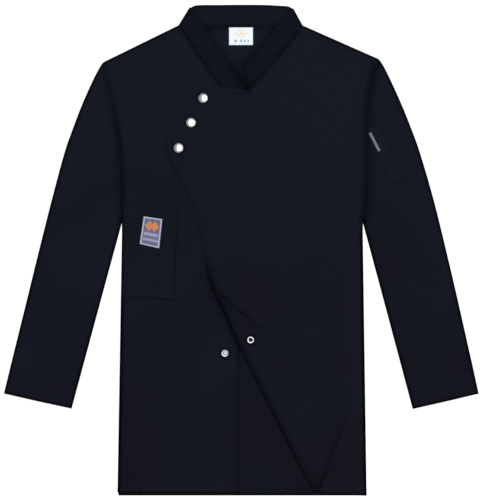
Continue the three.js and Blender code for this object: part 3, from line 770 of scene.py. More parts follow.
def thicken(piece, thickness):
    """Gives a sheet its wall and rounds the wall's rim."""
    choose(piece)
    wall = piece.modifiers.new("Wall", "SOLIDIFY")
    wall.thickness = thickness
    wall.offset = 0
    wall.use_even_offset = True
    wall.use_quality_normals = True
    rim = piece.modifiers.new("Rim", "BEVEL")
    rim.width = thickness * RIM_SHARE
    rim.segments = RIM_SEGMENTS
    rim.limit_method = "ANGLE"
    rim.angle_limit = math.radians(RIM_ANGLE)
    rim.use_clamp_overlap = False
    bpy.ops.object.modifier_apply(modifier=wall.name)
    bpy.ops.object.modifier_apply(modifier=rim.name)
    bpy.ops.object.shade_smooth_by_angle(angle=math.radians(SMOOTH_ANGLE))


def choose(piece):
    bpy.ops.object.select_all(action="DESELECT")
    piece.select_set(True)
    bpy.context.view_layer.objects.active = piece


def finish_piece(piece, finish, nodes=()):
    piece.data.materials.clear()
    piece.data.materials.append(finish)
    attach(piece, "root")
    if nodes:
        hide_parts(*nodes)


def finish_sheet(made, finish, node):
    """Gives a cloth piece its finish and node."""
    piece, (width, length), area = made
    finish_piece(piece, finish, [node])
    return piece


# Body panels


def shoulder_seam(side):
    """The shoulder seam lies on the front: its line, and where it meets the neck and the armhole."""
    neck = spline(side["collar"][:, :2])
    armhole = spline(side["armhole"])
    neck_share = SHOULDER_SEAM_DROP / run_of(neck)[-1]
    armhole_share = SHOULDER_SEAM_DROP / run_of(armhole)[-1]
    ends = np.vstack((spread(armhole, [armhole_share]), spread(neck, [neck_share])))
    line = spread(ends, np.linspace(0, 1, steps_for(run_of(ends)[-1]) + 1))
    return {"line": line, "neck_share": neck_share, "armhole_share": armhole_share}


def front_neck(side):
    return walked(side["collar"][:, :2], shoulder_seam(side)["neck_share"], 1)


def under_lap(side, share):
    """How far the seam's lower layer lies outside the upper one, by the share of the armhole."""
    ends = smoothstep(share, 0, LAP_END) * smoothstep(1 - share, 0, LAP_END)
    return np.stack((side["outward"] * UNDER_LAP * ends, np.zeros_like(ends)), axis=-1)


def side_edge(side, hem_y, inset, top_share, rows=None, lapped=False):
    """A panel's edge up the side seam and the armhole. The third column is the share of the side
    seam's turn that applies there: all of it below the armpit and none beside the sleeve."""
    armpit = side["armhole"][-1]
    turn_end = armpit[1] - SIDE_TURN_BELOW_ARMPIT
    armhole = walked(side["armhole"], 1, top_share)
    if lapped:
        armhole = armhole + under_lap(side, np.linspace(1, top_share, len(armhole)))

    def seam_x(y):
        share = (y - HEM_Y) / (armpit[1] - HEM_Y)
        return side["hem_x"] + (armpit[0] - side["hem_x"]) * share - side["outward"] * inset

    pit_steps = steps_for(SIDE_TURN_BELOW_ARMPIT)
    seam_steps = steps_for(turn_end - hem_y)
    if rows is not None:
        seam_steps = rows - len(armhole) - pit_steps
    heights = np.linspace(hem_y, turn_end, seam_steps + 1)
    seam = np.array([(seam_x(y), y, 1.0) for y in heights])
    pit = np.linspace(seam[-1], (*armhole[0], 0.0), pit_steps + 1)
    sleeve = np.column_stack((armhole, np.zeros(len(armhole))))
    return joined(seam, pit, sleeve)


def side_turn(edge, outward, shares):
    """The side seam's turn down to the table, outside the back panel's edge."""
    turned = []
    for angle in QUARTER_TURN:
        point = edge.copy()
        point[:, 0] += outward * shares * SIDE_RADIUS * math.sin(angle)
        point[:, 2] += shares * SIDE_RADIUS * (math.cos(angle) - 1)
        turned.append(point)
    foot = turned[-1].copy()
    foot[:, 2] -= shares * BACK_LEVEL
    turned.append(foot)
    return np.stack(turned, axis=1)


def turned_flat(flat_edge, outward, shares):
    """The side turn's place on the flat cloth."""
    arcs = np.append(QUARTER_TURN * SIDE_RADIUS, QUARTER_TURN[-1] * SIDE_RADIUS + BACK_LEVEL)
    flat = np.repeat(flat_edge[:, None, :], len(arcs), axis=1)
    flat[..., 0] += outward * shares[:, None] * arcs
    return flat


def right_front_patch(stitch):
    """The under front, from its side seam to its straight front edge."""
    side = SIDES["right"]
    seam = shoulder_seam(side)
    edge = side_edge(side, UNDER_HEM_Y, SIDE_INSET, seam["armhole_share"])
    neck = front_neck(side)
    front_top = np.array((FRONT_EDGE_X, FRONT_EDGE_TOP))
    front_hem = np.array((FRONT_EDGE_X, UNDER_HEM_Y))
    top = joined(seam["line"], neck, walked([neck[-1], front_top]))
    start, turn = edge[:, :2].copy(), edge[:, 2]
    start[-1] = top[0]
    bottom = spread([start[0], front_hem], np.linspace(0, 1, len(top)))
    end = spread([front_hem, front_top], np.linspace(0, 1, len(start)))
    plan = fill_edges(bottom, top, start, end)
    hem_line = bottom[[0, -1]]
    front_line = end[[0, -1]]
    height = front_height(plan, side) + band(hem_line, stitch.hem_depth / MM, plan)
    flat = raised(plan, height)
    points = np.concatenate((side_turn(flat[:, 0], -1, turn)[:, ::-1], flat), axis=1)
    cloth = np.concatenate((turned_flat(plan[:, 0], -1, turn)[:, ::-1], plan), axis=1)
    shades = [(path, shade) for path, _, shade in front_seams(side)]
    shades += [(start[:1 + np.argmax(turn < 1)], SIDE_SHADE), (hem_line, FRONT_HEM_SHADE)]
    shades += [(hem_line + np.array((0, stitch.hem_depth / MM)), HEM_LIGHT)]
    shades += [(front_line, FRONT_EDGE_SHADE), (walked(OVER_EDGE), OVER_EDGE_SHADE)]
    shades += [(fold_shade_line(), shade) for shade in FOLD_SHADES]
    shades += [(ring_round(SNAP_STUD, STUD_RINGS[0][0]), SNAP_SHADE)]
    lines = (
        (hem_line, stitch.hem_depth / MM),
        (front_line, stitch.front_depth / MM),
        (along(side["armhole"], ARMHOLE_STEPS), stitch.seam_depth / MM),
    )
    return patch(points, cloth, shades, lines)


# The flap's fold: where its axis lies, how it runs and which way is across the flap
FOLD_START = np.array(FLAP_FOLD_TOP)
FOLD_RUN = unit(np.array(FLAP_FOLD_HEM) - FOLD_START)
FOLD_ACROSS = np.array((-FOLD_RUN[1], FOLD_RUN[0]))


def fold_ease(distance):
    """How far the fold lies out from a straight line, at distances from its top."""
    return np.interp(distance, *spline(FOLD_EASE).T)


def fold_line(distance):
    """Points of the fold's outer edge at the given distances from its top."""
    straight = FOLD_START + np.multiply.outer(distance, FOLD_RUN)
    return straight - np.multiply.outer(fold_ease(distance), FOLD_ACROSS)


def fold_axis(distance):
    """Points of the fold's axis at the given distances from its top."""
    return fold_line(distance) + FOLD_ACROSS * FLAP_REACH


def fold_shade_line():
    """The fold, led in from the over front's edge above it."""
    return np.vstack((OVER_EDGE[1], OVER_EDGE[0], fold_line([point[0] for point in FOLD_EASE])))


def flap_outline():
    """The flap's rows: distance along the fold and how far each reaches across it."""
    outline = spline(FLAP)
    distances = np.linspace(0, FLAP[-1][0], steps_for(FLAP[-1][0]) + 1)
    return distances, np.interp(distances, outline[:, 0], outline[:, 1]) + fold_ease(distances)


def flap_edges():
    """The flap's cut front edge and its hem edge, which meet at its corner."""
    distances, reach = flap_outline()
    outline = fold_axis(distances) + FOLD_ACROSS * (reach - FLAP_REACH)[:, None]
    corner = int(np.argmax(reach))
    return outline[:corner + 1:SEAM_STEP], outline[corner::SEAM_STEP]


def flap_patch(stitch):
    """The turned-back corner: half round the fold, then flat over the front, inside out."""
    distances, reach = flap_outline()
    axis = fold_axis(distances)
    base = over_height(axis)
    turned = np.minimum(1, reach / FLAP_REACH)
    columns, cloth = [], []
    for angle in FLAP_TURN:
        point = axis - FOLD_ACROSS * (FLAP_RADIUS * np.sin(angle * turned))[:, None]
        columns.append(raised(point, base + FLAP_RADIUS * (1 - np.cos(angle * turned))))
        cloth.append(axis - FOLD_ACROSS * (FLAP_RADIUS * angle * turned)[:, None])
    half_round = FLAP_RADIUS * math.pi
    whole = reach >= FLAP_REACH
    cut_edge, hem_edge = flap_edges()
    for share in np.linspace(0, 1, FLAP_ACROSS + 1)[1:]:
        out = np.maximum(0, reach - FLAP_REACH) * share
        point = axis + FOLD_ACROSS * out[:, None]
        lift = 2 * FLAP_RADIUS + (CLOTH + LAYER_GAP - 2 * FLAP_RADIUS) * smoothstep(out, 0, FLAP_SETTLE)
        bands = band(cut_edge, stitch.edge_depth / MM, point)
        bands = bands + band(hem_edge, stitch.turned_hem_depth / MM, point)
        rise = np.minimum(bands, HEM_BAND) * smoothstep(out, 0, FLAP_REACH)
        row = raised(point, over_height(point) + lift + rise)
        columns.append(np.where(whole[:, None], row, columns[len(FLAP_TURN) - 1]))
        cloth.append(axis - FOLD_ACROSS * (turned * half_round + out)[:, None])
    points = np.stack(columns, axis=1)[::-1, ::-1]
    flat = np.stack(cloth, axis=1)[::-1, ::-1]
    shades = [(fold_shade_line(), shade) for shade in FOLD_SHADES]
    shades += [(cut_edge, FLAP_TOP_SHADE), (hem_edge, FLAP_HEM_SHADE)]
    shades += [(ring_round(SNAP_SOCKET, SOCKET_RINGS[0][0]), SNAP_SHADE)]
    lines = ((cut_edge, stitch.edge_depth / MM), (hem_edge, stitch.turned_hem_depth / MM))
    return patch(points, flat, shades, lines)


def left_front_patch(stitch):
    """The over front, from its slanted edge and the flap's fold to its side seam."""
    side = SIDES["left"]
    seam = shoulder_seam(side)
    neck = front_neck(side)[::-1]
    snap_edge = walked([OVER_EDGE[-1], OVER_TOP_EDGE[0]])
    top_edge = walked([*OVER_TOP_EDGE, neck[0]])
    top = joined(snap_edge, top_edge, neck, seam["line"][::-1])
    fold_rows = fold_axis(flap_outline()[0])[::-1]
    free_edge = walked([fold_rows[-1], *OVER_EDGE])
    start = joined(fold_rows, free_edge)
    edge = side_edge(side, HEM_Y, SIDE_INSET, seam["armhole_share"], rows=len(start))
    end, turn = edge[:, :2].copy(), edge[:, 2]
    end[-1] = top[-1]
    hem_line = np.array((start[0], (start[0][0] + HEM_SETTLE_RUN, HEM_Y + HEM_SETTLE_RISE), end[0]))
    bottom = spread(hem_line, np.linspace(0, 1, len(top)))
    plan = fill_edges(bottom, top, start, end)
    worked = joined(free_edge[1::EDGE_STEP], snap_edge[::EDGE_STEP], top_edge[::EDGE_STEP])
    bands = band(hem_line, stitch.hem_depth / MM, plan) + band(worked, stitch.edge_depth / MM, plan)
    fold_fade = smoothstep(distance_to(fold_rows[::FOLD_STEP], plan), 0, stitch.hem_depth / MM)
    flat = raised(plan, over_height(plan) + bands * fold_fade)
    points = np.concatenate((flat, side_turn(flat[:, -1], 1, turn)), axis=1)
    cloth = np.concatenate((plan, turned_flat(plan[:, -1], 1, turn)), axis=1)
    shades = [(path, shade) for path, _, shade in front_seams(side)]
    side_line = end[:1 + np.argmax(turn < 1)]
    shades += [(side_line, SIDE_SHADE), (side_line, SIDE_LIGHT), (hem_line, OVER_HEM_SHADE)]
    shades += [(hem_line + np.array((0, stitch.hem_depth / MM)), HEM_LIGHT)]
    shades += [(free_edge, OVER_ROLL_SHADE), (free_edge, OVER_EDGE_SHADE)]
    shades += [(snap_edge, SNAP_EDGE_SHADE), (top_edge, SNAP_EDGE_SHADE)]
    shades += [(fold_shade_line(), shade) for shade in FOLD_SHADES]
    cut_edge, flap_hem = flap_edges()
    shades += [(cut_edge, FLAP_CUT_SHADE), (flap_hem, FLAP_HEM_SHADE)]
    shades += [(ring_round(place, CAP_RIM), SNAP_SHADE) for place in SNAP_CAPS]
    lines = (
        (hem_line, stitch.hem_depth / MM),
        (worked, stitch.edge_depth / MM),
        (along(side["armhole"], ARMHOLE_STEPS), stitch.seam_depth / MM),
    )
    return patch(points, cloth, shades, lines)


def ring_round(place, radius):
    """A closed ring of points in plan."""
    angles = np.linspace(0, 2 * math.pi, RING_POINTS)
    return np.array(place) + radius * np.stack((np.cos(angles), np.sin(angles)), axis=1)


def back_patches(stitch):
    """The back, and its wrap over each shoulder fold to the shoulder seam."""
    folds = {}
    for name, side in SIDES.items():
        neck_point = side["collar"][0, :2]
        ends = np.vstack((side["armhole"][0], neck_point))
        line = spread(ends, np.linspace(0, 1, len(shoulder_seam(side)["line"])))
        fold = shifted(line, -side["outward"] * (FOLD_INSET - STAND_OUT))
        fold[-1] -= unit(fold[0] - fold[-1]) * NECK_TUCK
        folds[name] = fold
    neck = walked(np.array(COLLAR_BACK)[:, :2])
    top = np.vstack((folds["right"], neck, folds["left"][::-1]))
    edges = [side_edge(side, HEM_Y, BACK_SIDE_INSET, 0, lapped=True) for side in SIDES.values()]
    start, end = (edge[:, :2].copy() for edge in edges)
    rows = min(len(start), len(end))
    start, end = spread(start, np.linspace(0, 1, rows)), spread(end, np.linspace(0, 1, rows))
    start[-1], end[-1] = folds["right"][0], folds["left"][0]
    bottom = spread([start[0], end[0]], np.linspace(0, 1, len(top)))
    plan = fill_edges(bottom, top, start, end)
    hem_line = bottom[[0, -1]]
    middle = body_lift(plan) / BODY_PUFF
    strength = bpy.context.scene.jacket_cloth.crease_strength
    lift = strength * creases_at(BACK_CREASES, plan) * np.clip(middle, 0, 1)
    shades = [(neck, NECK_SHADE), (hem_line, BACK_HEM_SHADE)]
    shades += [(edge[:rows // 2:FOLD_STEP], EDGE_SHADE) for edge in (start, end)]
    shades += [(walked(side["collar"][:, 2:]), LEG_EDGE_SHADE) for side in SIDES.values()]
    shades += [(np.array(V_SHADOW), shade) for shade in V_SHADES]
    lines = ((hem_line, stitch.hem_depth / MM),)
    patches = [patch(raised(plan, BACK_LEVEL + lift), plan, shades, lines)]
    for name, side in SIDES.items():
        patches.append(shoulder_wrap(side, folds[name]))
    return patches


def shoulder_wrap(side, fold):
    """The back's cloth round a shoulder fold and on to the shoulder seam in front."""
    out = unit(fold[-1] - fold[0])
    outward = np.array((out[1], -out[0])) * side["outward"]
    seam = shoulder_seam(side)["line"]
    rows = [raised(fold, BACK_LEVEL)]
    cloth = [fold]
    for angle in HALF_TURN:
        point = fold + outward * FOLD_RADIUS * math.sin(angle)
        rows.append(raised(point, BACK_LEVEL + FOLD_RADIUS * (1 - math.cos(angle))))
        cloth.append(fold + outward * FOLD_RADIUS * angle)
    flat_width = np.linalg.norm(seam - fold, axis=1)[:, None]
    for share in np.linspace(0, 1, WRAP_STEPS + 1)[1:]:
        rows.append(raised(fold + (seam - fold) * share, FRONT_LEVEL))
        cloth.append(fold + outward * (FOLD_RADIUS * math.pi + flat_width * share))
    points, flat = np.stack(rows), np.stack(cloth)
    if side["outward"] > 0:
        points, flat = points[:, ::-1], flat[:, ::-1]
    return patch(points, flat, [(seam, SHOULDER_SHADE), (fold, SHOULDER_EDGE_SHADE)])


# Sleeves


def sleeve_patch(side, stitch):
    """A flattened tube from the armhole to the cuff, in rings round the outer fold and the underarm."""
    rows = steps_for(run_of(spline(side["sleeve_fold"]))[-1])
    outer = along(side["sleeve_fold"], rows)
    inner = np.linspace(side["armhole"][-1], side["cuff"], rows + 1)
    armhole = along(side["armhole"], SLEEVE_ACROSS)
    share = np.linspace(0, 1, SLEEVE_ACROSS + 1)
    bulge = armhole - (armhole[0] + np.multiply.outer(share, armhole[-1] - armhole[0]))
    bulge[:, 0] -= side["outward"] * SEAM_BITE
    low = shifted(outer, side["outward"] * (FOLD_INSET - STAND_OUT))
    high = shifted(inner, -side["outward"] * (FOLD_INSET - STAND_OUT))
    out_of_fold, out_of_pit = outer - low, inner - high
    out_of_fold /= np.linalg.norm(out_of_fold, axis=1)[:, None]
    out_of_pit /= np.linalg.norm(out_of_pit, axis=1)[:, None]
    down = np.linspace(0, 1, rows + 1)
    bow = 1 - smoothstep(down, 0, ARMHOLE_FADE)
    line = low[:, None] + (high - low)[:, None] * share[None, :, None] + bulge[None] * bow[:, None, None]
    swell = smoothstep(down, 0, SWELL_SHARE)[:, None] * np.sin(np.pi * share)[None] ** 2
    strength = bpy.context.scene.jacket_cloth.crease_strength
    creases = strength * creases_at(SLEEVE_CREASES[side["name"]], line)
    creases = creases * np.minimum(1, swell * SWELL_GAIN)
    seam = armhole[::SEAM_STEP]
    cuff_line = np.vstack((outer[-1], inner[-1]))
    cuff_depth = stitch.cuff_depth / MM
    crown = SLEEVE_PUFF * swell + creases + ridge(seam, line, *SLEEVE_RIDGE)
    top_side = raised(line, FRONT_LEVEL + crown + band(cuff_line, cuff_depth, line))
    hollow = np.maximum(0, creases) * UNDERARM_CREASE_SHARE
    lap = under_lap(side, share)[None] * bow[:, None, None]
    under_side = raised(line + lap, BACK_LEVEL + hollow)[:, ::-1]

    def turn(centre, outward, angles):
        points = [
            raised(centre + outward * FOLD_RADIUS * math.sin(angle),
                   BACK_LEVEL + FOLD_RADIUS * (1 + math.cos(angle)))
            for angle in angles
        ]
        return np.stack(points, axis=1)

    underarm = turn(line[:, -1], out_of_pit, HALF_TURN[:-1])
    fold = turn(line[:, 0], out_of_fold, HALF_TURN[:-1])[:, ::-1]
    rings = np.concatenate((top_side, underarm, under_side, fold, top_side[:, :1]), axis=1)
    lengths = np.linalg.norm(np.diff(rings, axis=1), axis=2)
    around = np.concatenate((np.zeros((len(rings), 1)), np.cumsum(lengths, axis=1)), axis=1)
    length = run_of(outer)
    flat = np.stack((around, np.broadcast_to(-length[:, None], around.shape)), axis=-1)
    shades = [(seam, table[side["name"]]) for table in (SLEEVE_SEAM_SHADE, SLEEVE_CAST)]
    edges = (outer[::EDGE_STEP], inner[::UNDERARM_STEP], cuff_line)
    shades += [(edge, EDGE_SHADE) for edge in edges]
    # Painted shadow on the sleeve beside the pen pocket's low corner
    if side["name"] == "left":
        shades.append((np.array(POCKET_SHADOW_LINE), POCKET_SHADOW_SHADE))
    return patch(rings, flat, shades, ((cuff_line, cuff_depth),))


# Collar


def across_row(seam, edge, height):
    """Rows of points across the band from each seam point to its edge point."""
    share = np.linspace(0, 1, COLLAR_ACROSS + 1)[None, :, None]
    places = seam[:, None] * (1 - share) + edge[:, None] * share
    return raised(places, height(places) + COLLAR_CROWN * np.sin(np.pi * share[..., 0]))


def level_with(height):
    """A height function for cloth that lies level."""
    return lambda places: np.full(places.shape[:-1], height)


def collar_rows():
    """A band from the right end in front, round the side folds and the back, to the left end."""
    middle = COLLAR_CLOTH / 2
    foot = CLOTH + UNDER_GAP
    fold_level = 2 * middle + UNDER_GAP + middle
    radius = (fold_level - middle) / 2
    ends, axes = [], []
    for side in SIDES.values():
        rows = side["collar"]
        seam, edge = rows[0, :2].copy(), rows[0, 2:].copy()
        run = unit(edge - seam)
        seam += run * NECK_CLEARANCE
        outward = np.array((-run[1], run[0])) * -side["outward"]
        axis = np.stack((seam, edge)) - outward * (radius + middle)
        turned = []
        for angle in (0, *HALF_TURN):
            place = axis + outward * radius * math.sin(angle)
            level = middle + radius * (1 - math.cos(angle))
            turned.append(across_row(place[:1], place[1:], level_with(level)))
        seams = spline(np.vstack((axis[:1], rows[1:, :2])), COLLAR_SPAN)[1:]
        edges = spline(np.vstack((axis[1:], rows[1:, 2:])), COLLAR_SPAN)[1:]

        def leg_height(places, start=seam, left=side["outward"] > 0):
            settled = smoothstep(np.linalg.norm(places - start, axis=-1), 0, COLLAR_SETTLE)
            laid = foot + middle + body_lift(places) + (overlap_rise(places) if left else 0)
            return np.maximum(laid, fold_level + (foot + middle - fold_level) * settled)

        ends.append(np.concatenate((*turned, across_row(seams, edges, leg_height))))
        axes.append(axis)
    backs = np.array(COLLAR_BACK)
    seams = spline(np.vstack((axes[0][:1], backs[:, :2], axes[1][:1])), COLLAR_SPAN)[1:-1]
    edges = spline(np.vstack((axes[0][1:], backs[:, 2:], axes[1][1:])), COLLAR_SPAN)[1:-1]
    back = across_row(seams, edges, level_with(middle))
    return np.concatenate((ends[0][::-1], back, ends[1]))


def collar_patch(stitch):
    """The collar's band, with shade painted along its free edge, its seam and its two folds."""
    points = collar_rows()
    middle = points[:, COLLAR_ACROSS // 2]
    steps = np.linalg.norm(np.diff(middle, axis=0), axis=1)
    run = np.concatenate(([0.0], np.cumsum(steps)))
    widths = np.linalg.norm(points[:, -1, :2] - points[:, 0, :2], axis=1)
    share = np.linspace(0, 1, COLLAR_ACROSS + 1)
    across = widths[:, None] * share[None]
    flat = np.stack((np.broadcast_to(run[:, None], across.shape), across), axis=-1)
    made = patch(points, flat, [(np.array(V_SHADOW), shade) for shade in V_SHADES])
    from_edge = widths[:, None] - across
    leg, turn = COLLAR_SPAN * (len(COLLAR_RIGHT) - 1), len(HALF_TURN) + 1
    row = np.arange(len(points))
    back = smoothstep(np.minimum(row, row[::-1]), leg, leg + turn)[:, None]
    folds = run[[leg + turn // 2, -1 - leg - turn // 2]]
    from_fold = np.abs(run[:, None] - folds).min(axis=1)[:, None]

    def beside(off, shade):
        strength, width = shade
        return strength * np.exp(-((off / width) ** 2))

    # Painted shade along the free edge, the seam and the folds, with the back band made lighter
    edge = beside(from_edge, COLLAR_LEG_SHADE) * (1 - back) + beside(from_edge, COLLAR_EDGE_SHADE) * back
    light = (1 - beside(across, NECK_SHADE)) * (1 - beside(from_fold, COLLAR_FOLD_SHADE))
    light = light * (1 - edge) * (1 + BACK_BAND_LIGHT * back)
    made["shade"] = 1 - (1 - made["shade"]) * light
    made["stitches"][..., 0] = from_edge - stitch.collar_depth / MM
    made["stitches"][..., 1] = across - stitch.seam_inset / MM
    return made


# Patches and labels


def surface_of(*names):
    """The finished surface of one or more pieces, to lay things on."""
    vertices, faces = [], []
    for name in names:
        piece = bpy.data.objects.get(name)
        if piece is None:
            raise RuntimeError(f"{name} has to be made first")
        start = len(vertices)
        vertices.extend(vertex.co for vertex in piece.data.vertices)
        faces.extend([start + i for i in polygon.vertices] for polygon in piece.data.polygons)
    return BVHTree.FromPolygons(vertices, faces)


def probe(surface, place, side=1):
    """The point and normal of a surface straight below a place, or above it when side is -1."""
    origin = Vector((place[0] * MM, place[1] * MM, PROBE * side))
    point, normal, _, _ = surface.ray_cast(origin, Vector((0, 0, -side)))
    return None if point is None else (np.array(point) / MM, np.array(normal))


def found_on(surface, place):
    """The point and normal of a surface that has to be there."""
    found = probe(surface, place)
    if found is None:
        raise RuntimeError(f"nothing lies at {place}")
    return found


def laid_patch(corners, surface, thickness, shade=PATCH_SHADE, inset=None, lift=None, shades=()):
    """A patch of cloth laid on a surface, with its grain along its own sides."""
    top_right, top_left, low_left, low_right = (np.array(corner) for corner in corners)
    tall = steps_for(np.linalg.norm(top_right - low_right), PATCH_GRID)
    wide = steps_for(np.linalg.norm(top_right - top_left), PATCH_GRID)
    v = np.linspace(0, 1, tall + 1)[:, None, None]
    u = np.linspace(0, 1, wide + 1)[None, :, None]
    right = low_right * (1 - v) + top_right * v
    left = low_left * (1 - v) + top_left * v
    plan = right * (1 - u) + left * u
    base = [found_on(surface, place)[0][2] for place in plan.reshape(-1, 2)]
    height = np.array(base).reshape(plan.shape[:-1]) + thickness / 2 + LAID_GAP
    if lift is not None:
        height = height + lift(u[..., 0], v[..., 0])
    width, length = np.linalg.norm(top_left - top_right), np.linalg.norm(top_right - low_right)
    flat = np.stack(np.broadcast_arrays(u[..., 0] * width, v[..., 0] * length), axis=-1)
    rim = np.array((top_right, low_right, low_left, top_left))
    closed = np.vstack((rim, rim[:1]))
    lines = () if inset is None else ((rim, inset),)
    return patch(raised(plan, height), flat, [(closed, shade), *shades], lines)


# Stitching


def stitch_rings(start, end, normal, radius):
    """Points of one stitch: a short thread whose ends go down into the cloth."""
    run = end - start
    side = unit(np.cross(normal, run))
    angles = np.linspace(0, 2 * math.pi, STITCH_SIDES, endpoint=False)
    ring = np.multiply.outer(np.cos(angles), side) + np.multiply.outer(np.sin(angles), normal)
    centres = start + np.multiply.outer(STITCH_SHARES, run)
    centres = centres + np.multiply.outer(STITCH_RISES * radius, normal)
    return (centres[:, None] + radius * STITCH_WIDTHS[:, None, None] * ring[None]).reshape(-1, 3)


def stitch_faces(start):
    """Faces of one stitch, whose points are numbered from start."""
    rings = len(STITCH_SHARES)
    faces = []
    for row in range(rings - 1):
        for column in range(STITCH_SIDES):
            following = (column + 1) % STITCH_SIDES
            low, high = start + row * STITCH_SIDES, start + (row + 1) * STITCH_SIDES
            faces.append((low + column, low + following, high + following, high + column))
    faces.append(tuple(start + i for i in range(STITCH_SIDES))[::-1])
    last = start + (rings - 1) * STITCH_SIDES
    faces.append(tuple(last + i for i in range(STITCH_SIDES)))
    return faces


def stitches_piece(name, seams, finish, stitch):
    """Rows of stitches as one mesh. A seam is a surface, a path in plan, the side it shows on, and
    where other cloth covers it the greatest height it is found at."""
    radius = stitch.thread_radius / MM
    pitch = stitch.pitch / MM
    points, faces = [], []
    for surface, path, side, *ceiling in seams:
        count = steps_for(run_of(path)[-1], pitch)
        marks = spread(path, np.linspace(0, 1, count + 1))
        gap = stitch.gap / MM / pitch / 2
        for low, high in zip(marks[:-1], marks[1:]):
            inset = (high - low) * gap
            ends = [probe(surface, place, side) for place in (low + inset, high - inset)]
            if None in ends:
                continue
            (start, normal), (end, _) = ends
            if ceiling and max(start[2], end[2]) > ceiling[0]:
                continue
            if abs(end[2] - start[2]) > np.linalg.norm(end[:2] - start[:2]):
                continue
            faces.extend(stitch_faces(len(points) * len(STITCH_SHARES) * STITCH_SIDES))
            points.append(stitch_rings(start, end, normal, radius))
    mesh = bpy.data.meshes.new(name)
    mesh.from_pydata(np.vstack(points) * MM, [], faces)
    piece = placed(name, mesh)
    choose(piece)
    bpy.ops.object.shade_smooth()
    finish_piece(piece, finish)
    return piece


# Snaps


def turned_piece(name, place, rings):
    """A round metal part: a disc drawn up ring by ring, then smoothed."""
    base = tuple(value * MM for value in place)
    bpy.ops.object.select_all(action="DESELECT")
    bpy.ops.mesh.primitive_circle_add(
        vertices=SNAP_SIDES, radius=rings[0][0] * MM, fill_type="NGON", location=base
    )
    piece = bpy.context.active_object
    piece.name = piece.data.name = name
    bpy.ops.object.mode_set(mode="EDIT")
    bpy.ops.mesh.select_mode(type="FACE")
    bpy.ops.mesh.select_all(action="SELECT")
    for (radius, height), (wider, lower) in zip(rings[1:], rings[:-1]):
        rise = {"value": (0, 0, (height - lower) * MM)}
        bpy.ops.mesh.extrude_region_move(TRANSFORM_OT_translate=rise)
        scale = radius / wider
        bpy.ops.transform.resize(value=(scale, scale, 1), center_override=base)
    bpy.ops.mesh.select_all(action="SELECT")
    bpy.ops.mesh.normals_make_consistent(inside=False)
    bpy.ops.object.mode_set(mode="OBJECT")
    bpy.ops.object.transform_apply(location=True, rotation=True, scale=True)
    smooth = piece.modifiers.new("Smooth", "SUBSURF")
    smooth.levels = smooth.render_levels = 1
    bpy.ops.object.modifier_apply(modifier=smooth.name)
    bpy.ops.object.shade_smooth_by_angle(angle=math.radians(SMOOTH_ANGLE))
    return piece


def copy_of(piece, name, move):
    """A copy with a mesh of its own, moved within that mesh."""
    copy = placed(name, piece.data.copy())
    copy.data.name = name
    for vertex in copy.data.vertices:
        vertex.co += Vector(move)
    return copy


def leaned(piece, place, lean):
    """Leans a snap part on the cloth about the middle of its foot."""
    foot = Vector([value * MM for value in place])
    turn = Euler((math.radians(-lean[1]), math.radians(lean[0]), 0)).to_matrix().to_4x4()
    piece.data.transform(Matrix.Translation(foot) @ turn @ Matrix.Translation(-foot))


def snap_seat(surface, place, rim):
    """The highest level of the cloth under a snap part's rim."""
    around = [place, *ring_round(place, rim)[::SEAT_STEP]]
    return max(found_on(surface, point)[0][2] for point in around)


# Finishes


